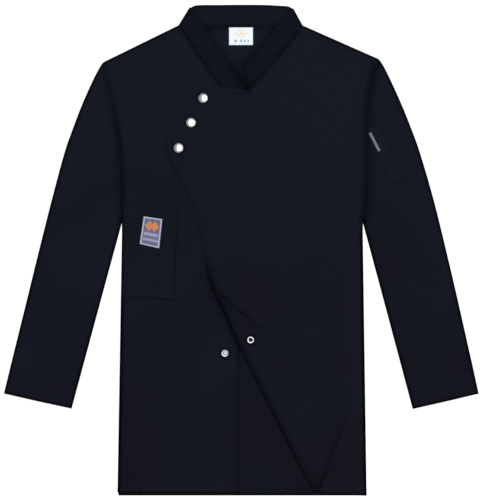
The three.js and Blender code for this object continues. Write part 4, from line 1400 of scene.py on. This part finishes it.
class Nodes:
    """A finish's nodes, with short calls for what it needs."""

    def __init__(self, name):
        self.material = bpy.data.materials.new(name)
        self.material.use_nodes = True
        self.tree = self.material.node_tree
        self.shader = self.tree.nodes["Principled BSDF"]

    def add(self, kind, values=None, **settings):
        node = self.tree.nodes.new(kind)
        for key, value in settings.items():
            setattr(node, key, value)
        for socket, value in (values or {}).items():
            self.put(node.inputs[socket], value)
        return node

    def put(self, socket, value):
        if isinstance(value, bpy.types.NodeSocket):
            self.tree.links.new(value, socket)
        else:
            socket.default_value = value

    def math(self, operation, *values):
        node = self.add("ShaderNodeMath", operation=operation)
        for socket, value in zip(node.inputs, values):
            self.put(socket, value)
        return node.outputs[0]

    def product(self, *values):
        total = values[0]
        for value in values[1:]:
            total = self.math("MULTIPLY", total, value)
        return total

    def toned(self, value, gain_and_base):
        """A pattern's value times a gain, plus a base."""
        return self.math("MULTIPLY_ADD", value, *gain_and_base)

    def mix(self, share, first, second):
        """A mix of two colours, by the numbers of the mix node's colour sockets."""
        node = self.add("ShaderNodeMix", data_type="RGBA")
        for index, value in ((0, share), (6, first), (7, second)):
            self.put(node.inputs[index], value)
        return node.outputs[2]

    def scaled(self, colour, factor):
        node = self.add("ShaderNodeVectorMath", operation="SCALE")
        self.put(node.inputs[0], colour)
        self.put(node.inputs["Scale"], factor)
        return node.outputs[0]

    def mapped(self, vector, scale=(1, 1, 1), rotation=0.0):
        node = self.add("ShaderNodeMapping")
        self.put(node.inputs["Vector"], vector)
        node.inputs["Rotation"].default_value = (0, 0, rotation)
        node.inputs["Scale"].default_value = scale
        return node.outputs[0]

    def noise(self, vector, scale, detail=2.0):
        values = {"Vector": vector, "Scale": scale, "Detail": detail}
        return self.add("ShaderNodeTexNoise", values).outputs[0]

    def waves(self, vector, period, distortion=0.0):
        scale = 2 * math.pi / (WAVE_BANDS * period)
        values = {"Vector": vector, "Scale": scale, "Distortion": distortion, "Detail": 1.0}
        return self.add("ShaderNodeTexWave", values).outputs["Fac"]

    def near(self, distance, width):
        """One on a line and nothing away from it."""
        share = self.math("DIVIDE", distance, width)
        return self.math("EXPONENT", self.product(share, share, -1.0))

    def place(self):
        return self.add("ShaderNodeTexCoord").outputs["Object"]

    def cloth(self):
        return self.add("ShaderNodeUVMap", uv_map="Cloth").outputs[0]

    def attribute(self, name, output):
        return self.add("ShaderNodeAttribute", attribute_name=name).outputs[output]

    def split(self, vector):
        return self.add("ShaderNodeSeparateXYZ", {"Vector": vector}).outputs

    def bump(self, height):
        values = {"Strength": 1.0, "Distance": 1.0, "Height": height}
        self.set(Normal=self.add("ShaderNodeBump", values).outputs[0])

    def set(self, **values):
        for name, value in values.items():
            self.put(self.shader.inputs[name.replace("_", " ")], value)


def twill_finish(name, colour, tint, settings):
    """Cotton twill: fine slanting ribs, uneven yarns, soft pucker along the stitching, and the painted shade
    of the shade attribute and of the stitching's channel.
    """
    nodes = Nodes(name)
    cloth, place = nodes.cloth(), nodes.place()
    rib = settings.twill_rib
    ribs = nodes.waves(nodes.mapped(cloth, rotation=RIB_ANGLE), rib, RIB_WAVER)
    yarns = nodes.waves(nodes.mapped(cloth, rotation=YARN_ANGLE), rib * YARN_SHARE, YARN_WAVER)
    slubs = nodes.noise(nodes.mapped(cloth, scale=SLUB_SCALE), 1.0, detail=3.0)
    mottle = nodes.noise(cloth, MOTTLE_SCALE, detail=3.0)
    cloud = nodes.noise(place, CLOUD_SCALE, detail=2.0)
    pucker = nodes.noise(nodes.mapped(cloth, scale=PUCKER_SCALE), 1.0, detail=1.0)
    lines = nodes.split(nodes.attribute("stitch_lines", "Vector"))
    gaps = [nodes.math("ABSOLUTE", line) for line in lines]
    gap = nodes.math("MINIMUM", nodes.math("MINIMUM", gaps[0], gaps[1]), gaps[2])
    channel = nodes.near(gap, CHANNEL_WIDTH)
    # The colour takes the painted shade of the shade attribute and of the stitch channel
    tone = nodes.product(
        nodes.toned(ribs, RIB_TONE),
        nodes.toned(yarns, YARN_TONE),
        nodes.toned(slubs, SLUB_TONE),
        nodes.toned(mottle, MOTTLE_TONE),
        nodes.math("SUBTRACT", 1.0, nodes.attribute("shade", "Fac")),
        nodes.toned(channel, CHANNEL_SHADE),
    )
    tint_share = nodes.math("MULTIPLY_ADD", nodes.split(place)[1], TINT_FALL, nodes.toned(cloud, TINT_CLOUD))
    tint_share.node.use_clamp = True
    hue = nodes.mix(tint_share, (*colour, 1), (*tint, 1))
    nodes.set(Base_Color=nodes.scaled(hue, tone), Specular_IOR_Level=TWILL_SPECULAR)
    nodes.set(Roughness=nodes.toned(slubs, TWILL_ROUGHNESS))
    height = nodes.math("MULTIPLY", ribs, RIB_HEIGHT)
    relief = (
        (yarns, YARN_HEIGHT),
        (slubs, SLUB_HEIGHT),
        (nodes.product(pucker, nodes.near(gap, PUCKER_WIDTH)), PUCKER_HEIGHT),
        (channel, -CHANNEL_DEPTH),
    )
    for value, rise in relief:
        height = nodes.math("MULTIPLY_ADD", value, rise, height)
    nodes.bump(height)
    return nodes.material


def thread_finish(name, colour):
    """Dull sewing thread with a fine twist."""
    nodes = Nodes(name)
    twist = nodes.noise(nodes.place(), THREAD_SCALE, detail=1.0)
    nodes.set(Base_Color=nodes.scaled((*colour,), nodes.toned(twist, THREAD_TONE)))
    nodes.set(Roughness=nodes.toned(twist, THREAD_ROUGHNESS), Specular_IOR_Level=THREAD_SPECULAR)
    return nodes.material


def metal_finish(name, colour):
    """Plated brass snaps: bright, with faint polishing marks and a little tarnish."""
    nodes = Nodes(name)
    place = nodes.place()
    tarnish = nodes.noise(place, TARNISH_SCALE, detail=3.0)
    marks = nodes.noise(nodes.mapped(place, POLISH_SCALE, POLISH_ANGLE), 1.0, detail=2.0)
    nodes.set(Base_Color=nodes.scaled((*colour,), nodes.toned(tarnish, METAL_TONE)), Metallic=1.0)
    nodes.set(Roughness=nodes.toned(marks, METAL_ROUGHNESS))
    nodes.bump(nodes.math("MULTIPLY", marks, POLISH_HEIGHT))
    return nodes.material


def box_mask(nodes, place, box):
    """One inside a box of shares of the label: left, right, low, high."""
    sides = zip((place[0], place[0], place[1], place[1]), ("GREATER_THAN", "LESS_THAN") * 2, box)
    return nodes.product(*(nodes.math(test, share, limit) for share, test, limit in sides))


def lozenge_mask(nodes, place, centre, reach):
    """One inside a lozenge, whose reach is in shares of the label."""
    off = [
        nodes.math("DIVIDE", nodes.math("ABSOLUTE", nodes.math("SUBTRACT", share, middle)), size)
        for share, middle, size in zip(place, centre, reach)
    ]
    return nodes.math("LESS_THAN", nodes.math("ADD", *off), 1.0)


def label_finish(name, size, ground, marks):
    """A woven label. Its marks are boxes and lozenges, each a mask and a colour over the ground."""
    nodes = Nodes(name)
    cloth = nodes.cloth()
    place = [nodes.math("DIVIDE", part, length) for part, length in zip(nodes.split(cloth), size)]
    colour = nodes.mix(0.0, (*ground, 1), (*ground, 1))
    for kind, shape, paint in marks:
        mask = box_mask(nodes, place, shape) if kind == "box" else lozenge_mask(nodes, place, *shape)
        colour = nodes.mix(mask, colour, (*paint, 1))
    weave = nodes.waves(cloth, WEAVE_PITCH, LABEL_WAVER)
    picks = nodes.waves(nodes.mapped(cloth, rotation=PICK_ANGLE), PICK_PITCH, LABEL_WAVER)
    # Shade painted round the label's rim darkens its colour
    light = nodes.math("SUBTRACT", 1.0, nodes.attribute("shade", "Fac"))
    tone = nodes.product(nodes.toned(weave, LABEL_TONE), nodes.toned(picks, LABEL_TONE), light)
    nodes.set(Base_Color=nodes.scaled(colour, tone), Specular_IOR_Level=LABEL_SPECULAR)
    nodes.set(Roughness=nodes.toned(weave, LABEL_ROUGHNESS))
    nodes.bump(nodes.math("MULTIPLY", nodes.math("ADD", weave, picks), LABEL_HEIGHT))
    return nodes.material


def finish_named(name, make, *values):
    """A finish that several pieces share is made once."""
    return bpy.data.materials.get(name) or make(name, *values)


def body_twill():
    cloth = bpy.context.scene.jacket_cloth
    return finish_named("navy_twill", twill_finish, cloth.navy, cloth.navy_tint, cloth)


def navy_thread():
    return finish_named("navy_thread", thread_finish, bpy.context.scene.jacket_stitching.thread)


# Settings


def colour_setting(name, description, default):
    return FloatVectorProperty(
        name=name, description=description, default=default, subtype="COLOR", size=3, min=0, max=1)


def length_setting(name, description, default, low, high):
    """A length in metres, with the range that a user may give it."""
    return FloatProperty(
        name=name, description=description, default=default, min=low, max=high, unit="LENGTH")


def amount_setting(name, description, default, low, high):
    return FloatProperty(name=name, description=description, default=default, min=low, max=high)


class JacketClothSettings(bpy.types.PropertyGroup):
    navy: colour_setting("Navy", "Colour of the body's twill", (0.0070, 0.0091, 0.0151))
    navy_tint: colour_setting(
        "Navy, in places", "Colour of the twill where it has faded a little", (0.0067, 0.0066, 0.0113))
    collar_navy: colour_setting("Collar navy", "Colour of the collar's twill", (0.0051, 0.0066, 0.0108))
    thickness: length_setting(
        "Cloth thickness", "Thickness of one layer of twill", CLOTH * MM, 0.0005, 0.003)
    collar_thickness: length_setting(
        "Collar thickness", "Thickness of the collar band", COLLAR_CLOTH * MM, 0.0005, 0.004)
    twill_rib: length_setting(
        "Twill rib", "Distance from one slanting rib of the twill to the next", 0.00085, 0.0003, 0.003)
    crease_strength: FloatProperty(
        name="Creases", description="Strength of the soft creases", default=1.0, min=0, max=2,
        subtype="FACTOR")


class JacketStitchSettings(bpy.types.PropertyGroup):
    thread: colour_setting("Thread", "Colour of the sewing thread", (0.0085, 0.0106, 0.0172))
    pitch: length_setting("Stitch length", "Distance from one stitch to the next", 0.0032, 0.001, 0.006)
    gap: length_setting("Stitch gap", "Cloth that shows between two stitches", 0.0005, 0.0001, 0.002)
    thread_radius: length_setting("Thread radius", "Radius of the sewing thread", 0.00024, 0.0001, 0.001)
    hem_depth: length_setting(
        "Hem depth", "Distance of the hem's stitching from its edge", 0.0095, 0.004, 0.05)
    turned_hem_depth: length_setting(
        "Turned hem depth", "Distance of the hem's stitching from the flap's edge", 0.008, 0.004, 0.05)
    cuff_depth: length_setting(
        "Cuff hem depth", "Distance of a cuff's stitching from its edge", 0.045, 0.01, 0.08)
    edge_depth: length_setting(
        "Edge depth", "Distance of the over front's stitching from its edge", 0.007, 0.002, 0.02)
    front_depth: length_setting(
        "Under edge depth", "Distance of the under front's stitching from its edge", 0.005, 0.002, 0.02)
    seam_depth: length_setting(
        "Armhole depth", "Distance of the armhole's topstitch from its seam", 0.006, 0.002, 0.02)
    seam_inset: length_setting(
        "Seam inset", "Distance of an edge stitch from its seam", 0.0018, 0.001, 0.01)
    neck_depth: length_setting(
        "Neck depth", "Distance of the neck facing's stitching from the neck seam", 0.010, 0.004, 0.03)
    collar_depth: length_setting(
        "Collar depth", "Distance of the collar's topstitch from its free edge", 0.007, 0.002, 0.02)
    patch_inset: length_setting(
        "Patch inset", "Distance of a patch's stitching from its edge", 0.0022, 0.001, 0.01)


class JacketTrimSettings(bpy.types.PropertyGroup):
    metal: colour_setting("Snap metal", "Colour of the snaps", (0.86, 0.86, 0.88))
    inner_metal: colour_setting("Inner snap metal", "Colour of the stud and the socket", (0.34, 0.34, 0.36))
    border: colour_setting("Label border", "Colour of the pocket label's border", (0.40, 0.43, 0.58))
    field: colour_setting("Label field", "Colour of the pocket label's field", (0.120, 0.120, 0.195))
    motif: colour_setting("Label motif", "Colour of the pocket label's lozenges", (0.54, 0.20, 0.09))
    bars: colour_setting("Label bars", "Colour of the pocket label's bars", (0.27, 0.29, 0.46))
    neck_ground: colour_setting("Neck label", "Colour of the neck label", (0.79, 0.87, 0.895))
    neck_motif: colour_setting("Neck label motif", "Colour of the neck label's lozenges", (0.80, 0.70, 0.54))
    neck_dashes: colour_setting("Neck label dashes", "Colour of the neck label's dashes", (0.38, 0.45, 0.51))
    sleeve_ground: colour_setting("Sleeve label", "Colour of the sleeve's label", (0.155, 0.155, 0.22))


class JacketStageSettings(bpy.types.PropertyGroup):
    floor_size: length_setting("Floor", "Length of the floor's sides", 40.0, 2, 100)
    floor_glow: amount_setting("Floor glow", "Light that the floor gives off", 0.92, 0, 3)
    sky: amount_setting("Sky", "Strength of the light from all round", 0.3, 0, 3)
    lamp_power: amount_setting("Overhead light", "Brightness of the overhead light's surface", 2.8, 0, 10)
    lamp_size: length_setting("Light size", "Length of the overhead light's sides", 3.4, 0.1, 10)
    lens: amount_setting("Lens", "The camera's focal length in millimetres", 100, 10, 300)
    camera_height: length_setting("Camera height", "Height of the camera above the floor", 2.347, 0.5, 10)


# Operators


class JACKET_OT_back(bpy.types.Operator):
    """Make the back panel, with its wrap over each shoulder"""
    bl_idname = "jacket.back"
    bl_label = "Back"

    def execute(self, context):
        patches = back_patches(context.scene.jacket_stitching)
        made = cloth_piece("back_panel", patches, context.scene.jacket_cloth.thickness / MM)
        finish_sheet(made, body_twill(), "back")
        return {"FINISHED"}


class JACKET_OT_fronts(bpy.types.Operator):
    """Make the under front and the over front, whose lower corner is turned back"""
    bl_idname = "jacket.fronts"
    bl_label = "Fronts"

    def execute(self, context):
        stitch = context.scene.jacket_stitching
        thickness = context.scene.jacket_cloth.thickness / MM
        under = cloth_piece("under_front", [right_front_patch(stitch)], thickness)
        finish_sheet(under, body_twill(), "right_front")
        over = cloth_piece("over_front", [left_front_patch(stitch), flap_patch(stitch)], thickness)
        finish_sheet(over, body_twill(), "left_front")
        return {"FINISHED"}


class JACKET_OT_sleeves(bpy.types.Operator):
    """Make the two sleeves"""
    bl_idname = "jacket.sleeves"
    bl_label = "Sleeves"

    def execute(self, context):
        stitch = context.scene.jacket_stitching
        thickness = context.scene.jacket_cloth.thickness / MM
        for name, side in SIDES.items():
            made = cloth_piece(f"{name}_sleeve", [sleeve_patch(side, stitch)], thickness)
            finish_sheet(made, body_twill(), f"sleeve_{name}")
        return {"FINISHED"}


class JACKET_OT_collar(bpy.types.Operator):
    """Make the standing collar, pressed flat"""
    bl_idname = "jacket.collar"
    bl_label = "Collar"

    def execute(self, context):
        cloth = context.scene.jacket_cloth
        made = cloth_piece(
            "collar_band", [collar_patch(context.scene.jacket_stitching)], cloth.collar_thickness / MM)
        finish = finish_named("collar_twill", twill_finish, cloth.collar_navy, cloth.collar_navy, cloth)
        finish_sheet(made, finish, "collar")
        return {"FINISHED"}


class JACKET_OT_pockets(bpy.types.Operator):
    """Make the hip pocket and the sleeve's pen pocket"""
    bl_idname = "jacket.pockets"
    bl_label = "Pockets"

    def execute(self, context):
        inset = context.scene.jacket_stitching.patch_inset / MM
        side = SIDES["right"]
        side_line = np.array((side["armhole"][-1], (side["hem_x"], HEM_Y)))
        hip = laid_patch(
            HIP_POCKET, surface_of("under_front"), CLOTH, inset=inset, lift=mouth_lift,
            shades=[(side_line, SIDE_SHADE)])
        made = cloth_piece("hip_pocket_patch", [hip], CLOTH)
        finish_sheet(made, body_twill(), "hip_pocket")
        pen = laid_patch(PEN_POCKET, surface_of("left_sleeve"), CLOTH, PEN_POCKET_SHADE, inset)
        made = cloth_piece("pen_pocket_patch", [pen], CLOTH)
        finish_sheet(made, body_twill(), "pen_pocket")
        return {"FINISHED"}


def mouth_lift(u, v):
    """How far a pocket's open mouth stands off the front, by shares across and up."""
    return MOUTH_LIFT * np.sin(np.pi * u) * np.exp(-(1 - v) / MOUTH_REACH)


def label_marks(marks, trim):
    """A label's marks with their colours looked up in the settings."""
    return [(kind, shape, getattr(trim, colour)) for kind, shape, colour in marks]


class JACKET_OT_labels(bpy.types.Operator):
    """Make the pocket's label, the sleeve's label and the neck label"""
    bl_idname = "jacket.labels"
    bl_label = "Labels"

    def execute(self, context):
        trim = context.scene.jacket_trim
        labels = (
            ("pocket_label_patch", POCKET_LABEL, "hip_pocket_patch", "woven_label", "pocket_label",
             trim.border, POCKET_LABEL_MARKS),
            ("sleeve_label_strip", SLEEVE_LABEL, "pen_pocket_patch", "grey_label", "sleeve_label",
             trim.sleeve_ground, ()),
            ("neck_label_patch", NECK_LABEL, "back_panel", "white_label", "neck_label",
             trim.neck_ground, NECK_LABEL_MARKS),
        )
        for name, corners, under, slot, node, ground, marks in labels:
            laid = laid_patch(corners, surface_of(under), LABEL_CLOTH, LABEL_SHADE)
            made = cloth_piece(name, [laid], LABEL_CLOTH)
            finish = label_finish(f"{name}_weave", made[1], ground, label_marks(marks, trim))
            finish_sheet(made, finish, node)
        return {"FINISHED"}


def paint_hole_shade(socket, seat):
    """Paints shade inside the socket's hole: the faces there take a near-black metal."""
    socket.data.materials.append(finish_named("dark_recess", metal_finish, HOLE_SHADE_COLOUR))
    for polygon in socket.data.polygons:
        off = math.dist(polygon.center[:2], (seat[0] * MM, seat[1] * MM))
        if off < HOLE_RADIUS * MM and polygon.center[2] > seat[2] * MM:
            polygon.material_index = 1


class JACKET_OT_snaps(bpy.types.Operator):
    """Make the three snap caps, the stud and the socket"""
    bl_idname = "jacket.snaps"
    bl_label = "Snaps"

    def execute(self, context):
        trim = context.scene.jacket_trim
        bright = finish_named("plated_metal", metal_finish, trim.metal)
        dull = finish_named("dull_metal", metal_finish, trim.inner_metal)
        over, under = surface_of("over_front"), surface_of("under_front")
        seats = [(*place, snap_seat(over, place, CAP_RIM)) for place in SNAP_CAPS]
        caps = [turned_piece("snap_cap_top", seats[0], CAP_RINGS)]
        for name, seat in zip(("snap_cap_middle", "snap_cap_low"), seats[1:]):
            caps.append(copy_of(caps[0], name, (np.array(seat) - np.array(seats[0])) * MM))
        for number, (cap, seat, lean) in enumerate(zip(caps, seats, CAP_LEANS), 1):
            leaned(cap, seat, lean)
            finish_piece(cap, bright, [f"snap_cap_{number}"])
        seat = (*SNAP_STUD, snap_seat(under, SNAP_STUD, STUD_RINGS[0][0]))
        stud = turned_piece("snap_stud_part", seat, STUD_RINGS)
        finish_piece(stud, dull, ["snap_stud"])
        seat = (*SNAP_SOCKET, snap_seat(over, SNAP_SOCKET, SOCKET_RINGS[0][0]))
        socket = turned_piece("snap_socket_part", seat, SOCKET_RINGS)
        finish_piece(socket, dull, ["snap_socket"])
        paint_hole_shade(socket, seat)
        return {"FINISHED"}


def patch_lines(corners, inset):
    """Stitching down one side of a patch, across its foot and up the other."""
    corners = np.array(corners)
    centre = sum(corners) / len(corners)
    drawn = [corner + unit(centre - corner) * inset * math.sqrt(2) for corner in corners]
    top_right, top_left, low_left, low_right = drawn
    return np.array((top_right, low_right, low_left, top_left))


class JACKET_OT_stitching(bpy.types.Operator):
    """Sew every visible seam, hem and pocket"""
    bl_idname = "jacket.stitching"
    bl_label = "Stitching"

    def execute(self, context):
        stitch = context.scene.jacket_stitching
        sew_collar(stitch)
        sew_fronts(stitch)
        sew_back(stitch)
        sew_sleeves(stitch)
        sew_patches(stitch)
        return {"FINISHED"}


def collar_line(rows, inset, from_edge):
    """A line along rows of the collar at a distance from its free edge, or from its seam."""
    seam, edge = rows[:, 0, :2], rows[:, -1, :2]
    across = edge - seam
    run = across / np.linalg.norm(across, axis=1)[:, None]
    return edge - run * inset if from_edge else seam + run * inset


def sew_collar(stitch):
    surface = surface_of("collar_band")
    rows = collar_rows()
    leg = COLLAR_SPAN * (len(COLLAR_RIGHT) - 1)
    fold = leg + len(HALF_TURN) + 1
    right, left = trimmed(rows[:leg], COLLAR_ENDS), trimmed(rows[-leg:], COLLAR_ENDS)
    back = trimmed(rows[fold:-fold], COLLAR_FOLD_ENDS)
    depth, inset = stitch.collar_depth / MM, stitch.seam_inset / MM
    seams = []
    for distance, from_edge in ((depth, True), (inset, False)):
        for part, ceiling in ((right, PROBE / MM), (back, BACK_BAND_CEILING), (left, PROBE / MM)):
            seams.append((surface, collar_line(part, distance, from_edge), 1, ceiling))
    seams.append((surface, collar_line(back, depth, True), -1))
    stitches_piece("collar_stitching", seams, navy_thread(), stitch)


def sew_fronts(stitch):
    under, over = surface_of("under_front"), surface_of("over_front")
    right, left = SIDES["right"], SIDES["left"]
    hem, depth, inset = stitch.hem_depth / MM, stitch.edge_depth / MM, stitch.seam_inset / MM
    hem_y = UNDER_HEM_Y + hem
    right_hem = np.array(((right["hem_x"] + HEM_CLEAR, hem_y), (FRONT_EDGE_X - EDGE_CLEAR, hem_y)))
    front_x = FRONT_EDGE_X - stitch.front_depth / MM
    front_line = np.array(((front_x, UNDER_HEM_Y + EDGE_CLEAR), (front_x, FLAP_FOLD_TOP[1])))
    hem_y = HEM_Y + hem
    left_hem = np.array(
        ((FLAP_FOLD_HEM[0] + FLAP_HEM_CLEAR, hem_y), (left["hem_x"] - HEM_CLEAR, hem_y)))
    outline = joined(walked(OVER_EDGE), walked([OVER_EDGE[-1], OVER_TOP_EDGE[0]]), walked(OVER_TOP_EDGE))
    cut_edge, hem_edge = flap_edges()
    cut_line = smooth_path(shifted(cut_edge[FLAP_CUT_START:], depth), depth)[:-FLAP_CUT_END]
    turned_hem = trimmed(shifted(hem_edge, stitch.turned_hem_depth / MM), FLAP_HEM_ENDS)
    seams = [(under, right_hem, 1), (under, front_line, 1)]
    seams += [(over, smooth_path(shifted(outline, depth), depth), 1), (over, left_hem, 1)]
    seams += [(over, cut_line, 1), (over, turned_hem, 1)]
    for side, surface in ((right, under), (left, over)):
        armhole = walked(side["armhole"], *ARMHOLE_SEWN)
        seams.append((surface, shifted(armhole, side["outward"] * stitch.seam_depth / MM), 1))
        shoulder = trimmed(shoulder_seam(side)["line"], SHOULDER_ENDS)
        seams.append((surface, shoulder + np.array((0, -inset)), 1))
        neck = trimmed(front_neck(side), NECK_ENDS)
        seams.append((surface, shifted(neck, -side["outward"] * inset), 1))
    stitches_piece("front_stitching", seams, navy_thread(), stitch)


def trimmed(path, count):
    """A path without its first and last few points."""
    return path[count:-count]


def smooth_path(path, reach):
    """A path with the kinks that an inside offset leaves at a corner taken out."""
    kept = [path[0]]
    for point in path[1:]:
        if np.linalg.norm(point - kept[-1]) > reach * KINK_SHARE:
            kept.append(point)
    return np.array(kept)


def sew_back(stitch):
    surface = surface_of("back_panel")
    hem_y = HEM_Y + stitch.hem_depth / MM
    ends = SIDES["right"]["hem_x"] + HEM_CLEAR, SIDES["left"]["hem_x"] - HEM_CLEAR
    hem_line = np.array([(x, hem_y) for x in ends])
    neck = shifted(walked(np.array(COLLAR_BACK)[:, :2]), stitch.neck_depth / MM)
    seams = [(surface, hem_line, 1), (surface, hem_line, -1)]
    seams += [(surface, trimmed(neck, BACK_NECK_ENDS), -1)]
    stitches_piece("back_stitching", seams, navy_thread(), stitch)


def sew_sleeves(stitch):
    depth = stitch.cuff_depth / MM
    seams = []
    for name, side in SIDES.items():
        surface = surface_of(f"{name}_sleeve")
        outer, inner = side["sleeve_fold"][-1], side["cuff"]
        inward = unit(inner - outer) * FOLD_INSET
        slant = unit(side["sleeve_fold"][-2] - outer) * depth
        rise = unit(side["armhole"][-1] - inner) * depth
        cuff_line = np.array((outer + slant + inward, inner + rise - inward))
        seams += [(surface, cuff_line, 1), (surface, cuff_line, -1)]
    stitches_piece("sleeve_stitching", seams, navy_thread(), stitch)


def sew_patches(stitch):
    hip, pen = surface_of("hip_pocket_patch"), surface_of("pen_pocket_patch")
    inset = stitch.patch_inset / MM
    seams = [(hip, patch_lines(HIP_POCKET, inset), 1), (pen, patch_lines(PEN_POCKET, inset), 1)]
    mouths = ((hip, HIP_POCKET, POCKET_MOUTH_SHARE), (pen, PEN_POCKET, PEN_MOUTH_SHARE))
    for surface, corners, share in mouths:
        top_right, top_left, low_left, low_right = np.array(corners)
        ends = top_right + (low_right - top_right) * share, top_left + (low_left - top_left) * share
        inward = unit(ends[1] - ends[0]) * inset
        seams.append((surface, np.array((ends[0] + inward, ends[1] - inward)), 1))
    _, top_left, low_left, _ = np.array(HIP_POCKET)
    shares = np.array((POCKET_MOUTH_SHARE, POCKET_SECOND_END))
    second = top_left + np.multiply.outer(shares, low_left - top_left)
    seams.append((hip, second - np.array((POCKET_SECOND_INSET, 0)), 1))
    stitches_piece("pocket_stitching", seams, navy_thread(), stitch)


class JACKET_OT_stage(bpy.types.Operator):
    """Make the floor, the lights and the camera"""
    bl_idname = "jacket.stage"
    bl_label = "Stage"

    def execute(self, context):
        stage = context.scene.jacket_stage
        make_floor(stage)
        make_lights(context.scene, stage)
        make_camera(context.scene, stage)
        return {"FINISHED"}


def make_floor(stage):
    bpy.ops.object.select_all(action="DESELECT")
    bpy.ops.mesh.primitive_plane_add(size=stage.floor_size, location=(0, 0, -FLOOR_DROP))
    floor = bpy.context.active_object
    floor.name = "floor"
    nodes = Nodes("pale_floor")
    nodes.set(Base_Color=FLOOR_COLOUR, Roughness=FLOOR_ROUGHNESS, Specular_IOR_Level=0.0)
    nodes.set(Emission_Color=WHITE, Emission_Strength=stage.floor_glow)
    floor.data.materials.append(nodes.material)


def make_lights(scene, stage):
    world = bpy.data.worlds.new("soft_sky")
    world.use_nodes = True
    background = world.node_tree.nodes["Background"]
    background.inputs["Color"].default_value = WHITE
    background.inputs["Strength"].default_value = stage.sky
    scene.world = world
    lamp = bpy.data.lights.new("overhead", "AREA")
    lamp.shape = "SQUARE"
    lamp.size = stage.lamp_size
    lamp.energy = stage.lamp_power * math.pi * stage.lamp_size**2
    placed("overhead", lamp).location = (*LAMP_OFFSET, LAMP_HEIGHT)


def make_camera(scene, stage):
    camera = bpy.data.cameras.new("photo_view")
    camera.lens = stage.lens
    camera.sensor_width = SENSOR_WIDTH
    camera.clip_end = VIEW_END
    scene.camera = placed("photo_view", camera)
    scene.camera.location = (*CAMERA_OFFSET, stage.camera_height)
    scene.view_settings.view_transform = "Standard"


OPERATORS = (
    JACKET_OT_back,
    JACKET_OT_fronts,
    JACKET_OT_sleeves,
    JACKET_OT_collar,
    JACKET_OT_pockets,
    JACKET_OT_labels,
    JACKET_OT_snaps,
    JACKET_OT_stitching,
    JACKET_OT_stage,
)
SETTINGS = {
    "jacket_cloth": JacketClothSettings,
    "jacket_stitching": JacketStitchSettings,
    "jacket_trim": JacketTrimSettings,
    "jacket_stage": JacketStageSettings,
}


class JACKET_PT_sidebar(bpy.types.Panel):
    """The jacket's settings and the steps that make it"""
    bl_idname = "JACKET_PT_sidebar"
    bl_label = "Chef jacket"
    bl_space_type = "VIEW_3D"
    bl_region_type = "UI"
    bl_category = "Jacket"

    def draw(self, context):
        for attribute, group in SETTINGS.items():
            box = self.layout.box()
            for name in group.__annotations__:
                box.prop(getattr(context.scene, attribute), name)
        for operator in OPERATORS:
            self.layout.operator(operator.bl_idname)


def register():
    for group in (*SETTINGS.values(), *OPERATORS, JACKET_PT_sidebar):
        bpy.utils.register_class(group)
    for attribute, group in SETTINGS.items():
        setattr(bpy.types.Scene, attribute, PointerProperty(type=group))


def unregister():
    for attribute in SETTINGS:
        delattr(bpy.types.Scene, attribute)
    for group in (JACKET_PT_sidebar, *reversed(OPERATORS), *SETTINGS.values()):
        bpy.utils.unregister_class(group)


def main():
    register()
    bpy.ops.jacket.back()
    bpy.ops.jacket.fronts()
    bpy.ops.jacket.sleeves()
    bpy.ops.jacket.collar()
    bpy.ops.jacket.pockets()
    bpy.ops.jacket.labels()
    bpy.ops.jacket.snaps()
    bpy.ops.jacket.stitching()
    bpy.ops.jacket.stage()


if __name__ == "__main__":
    main()
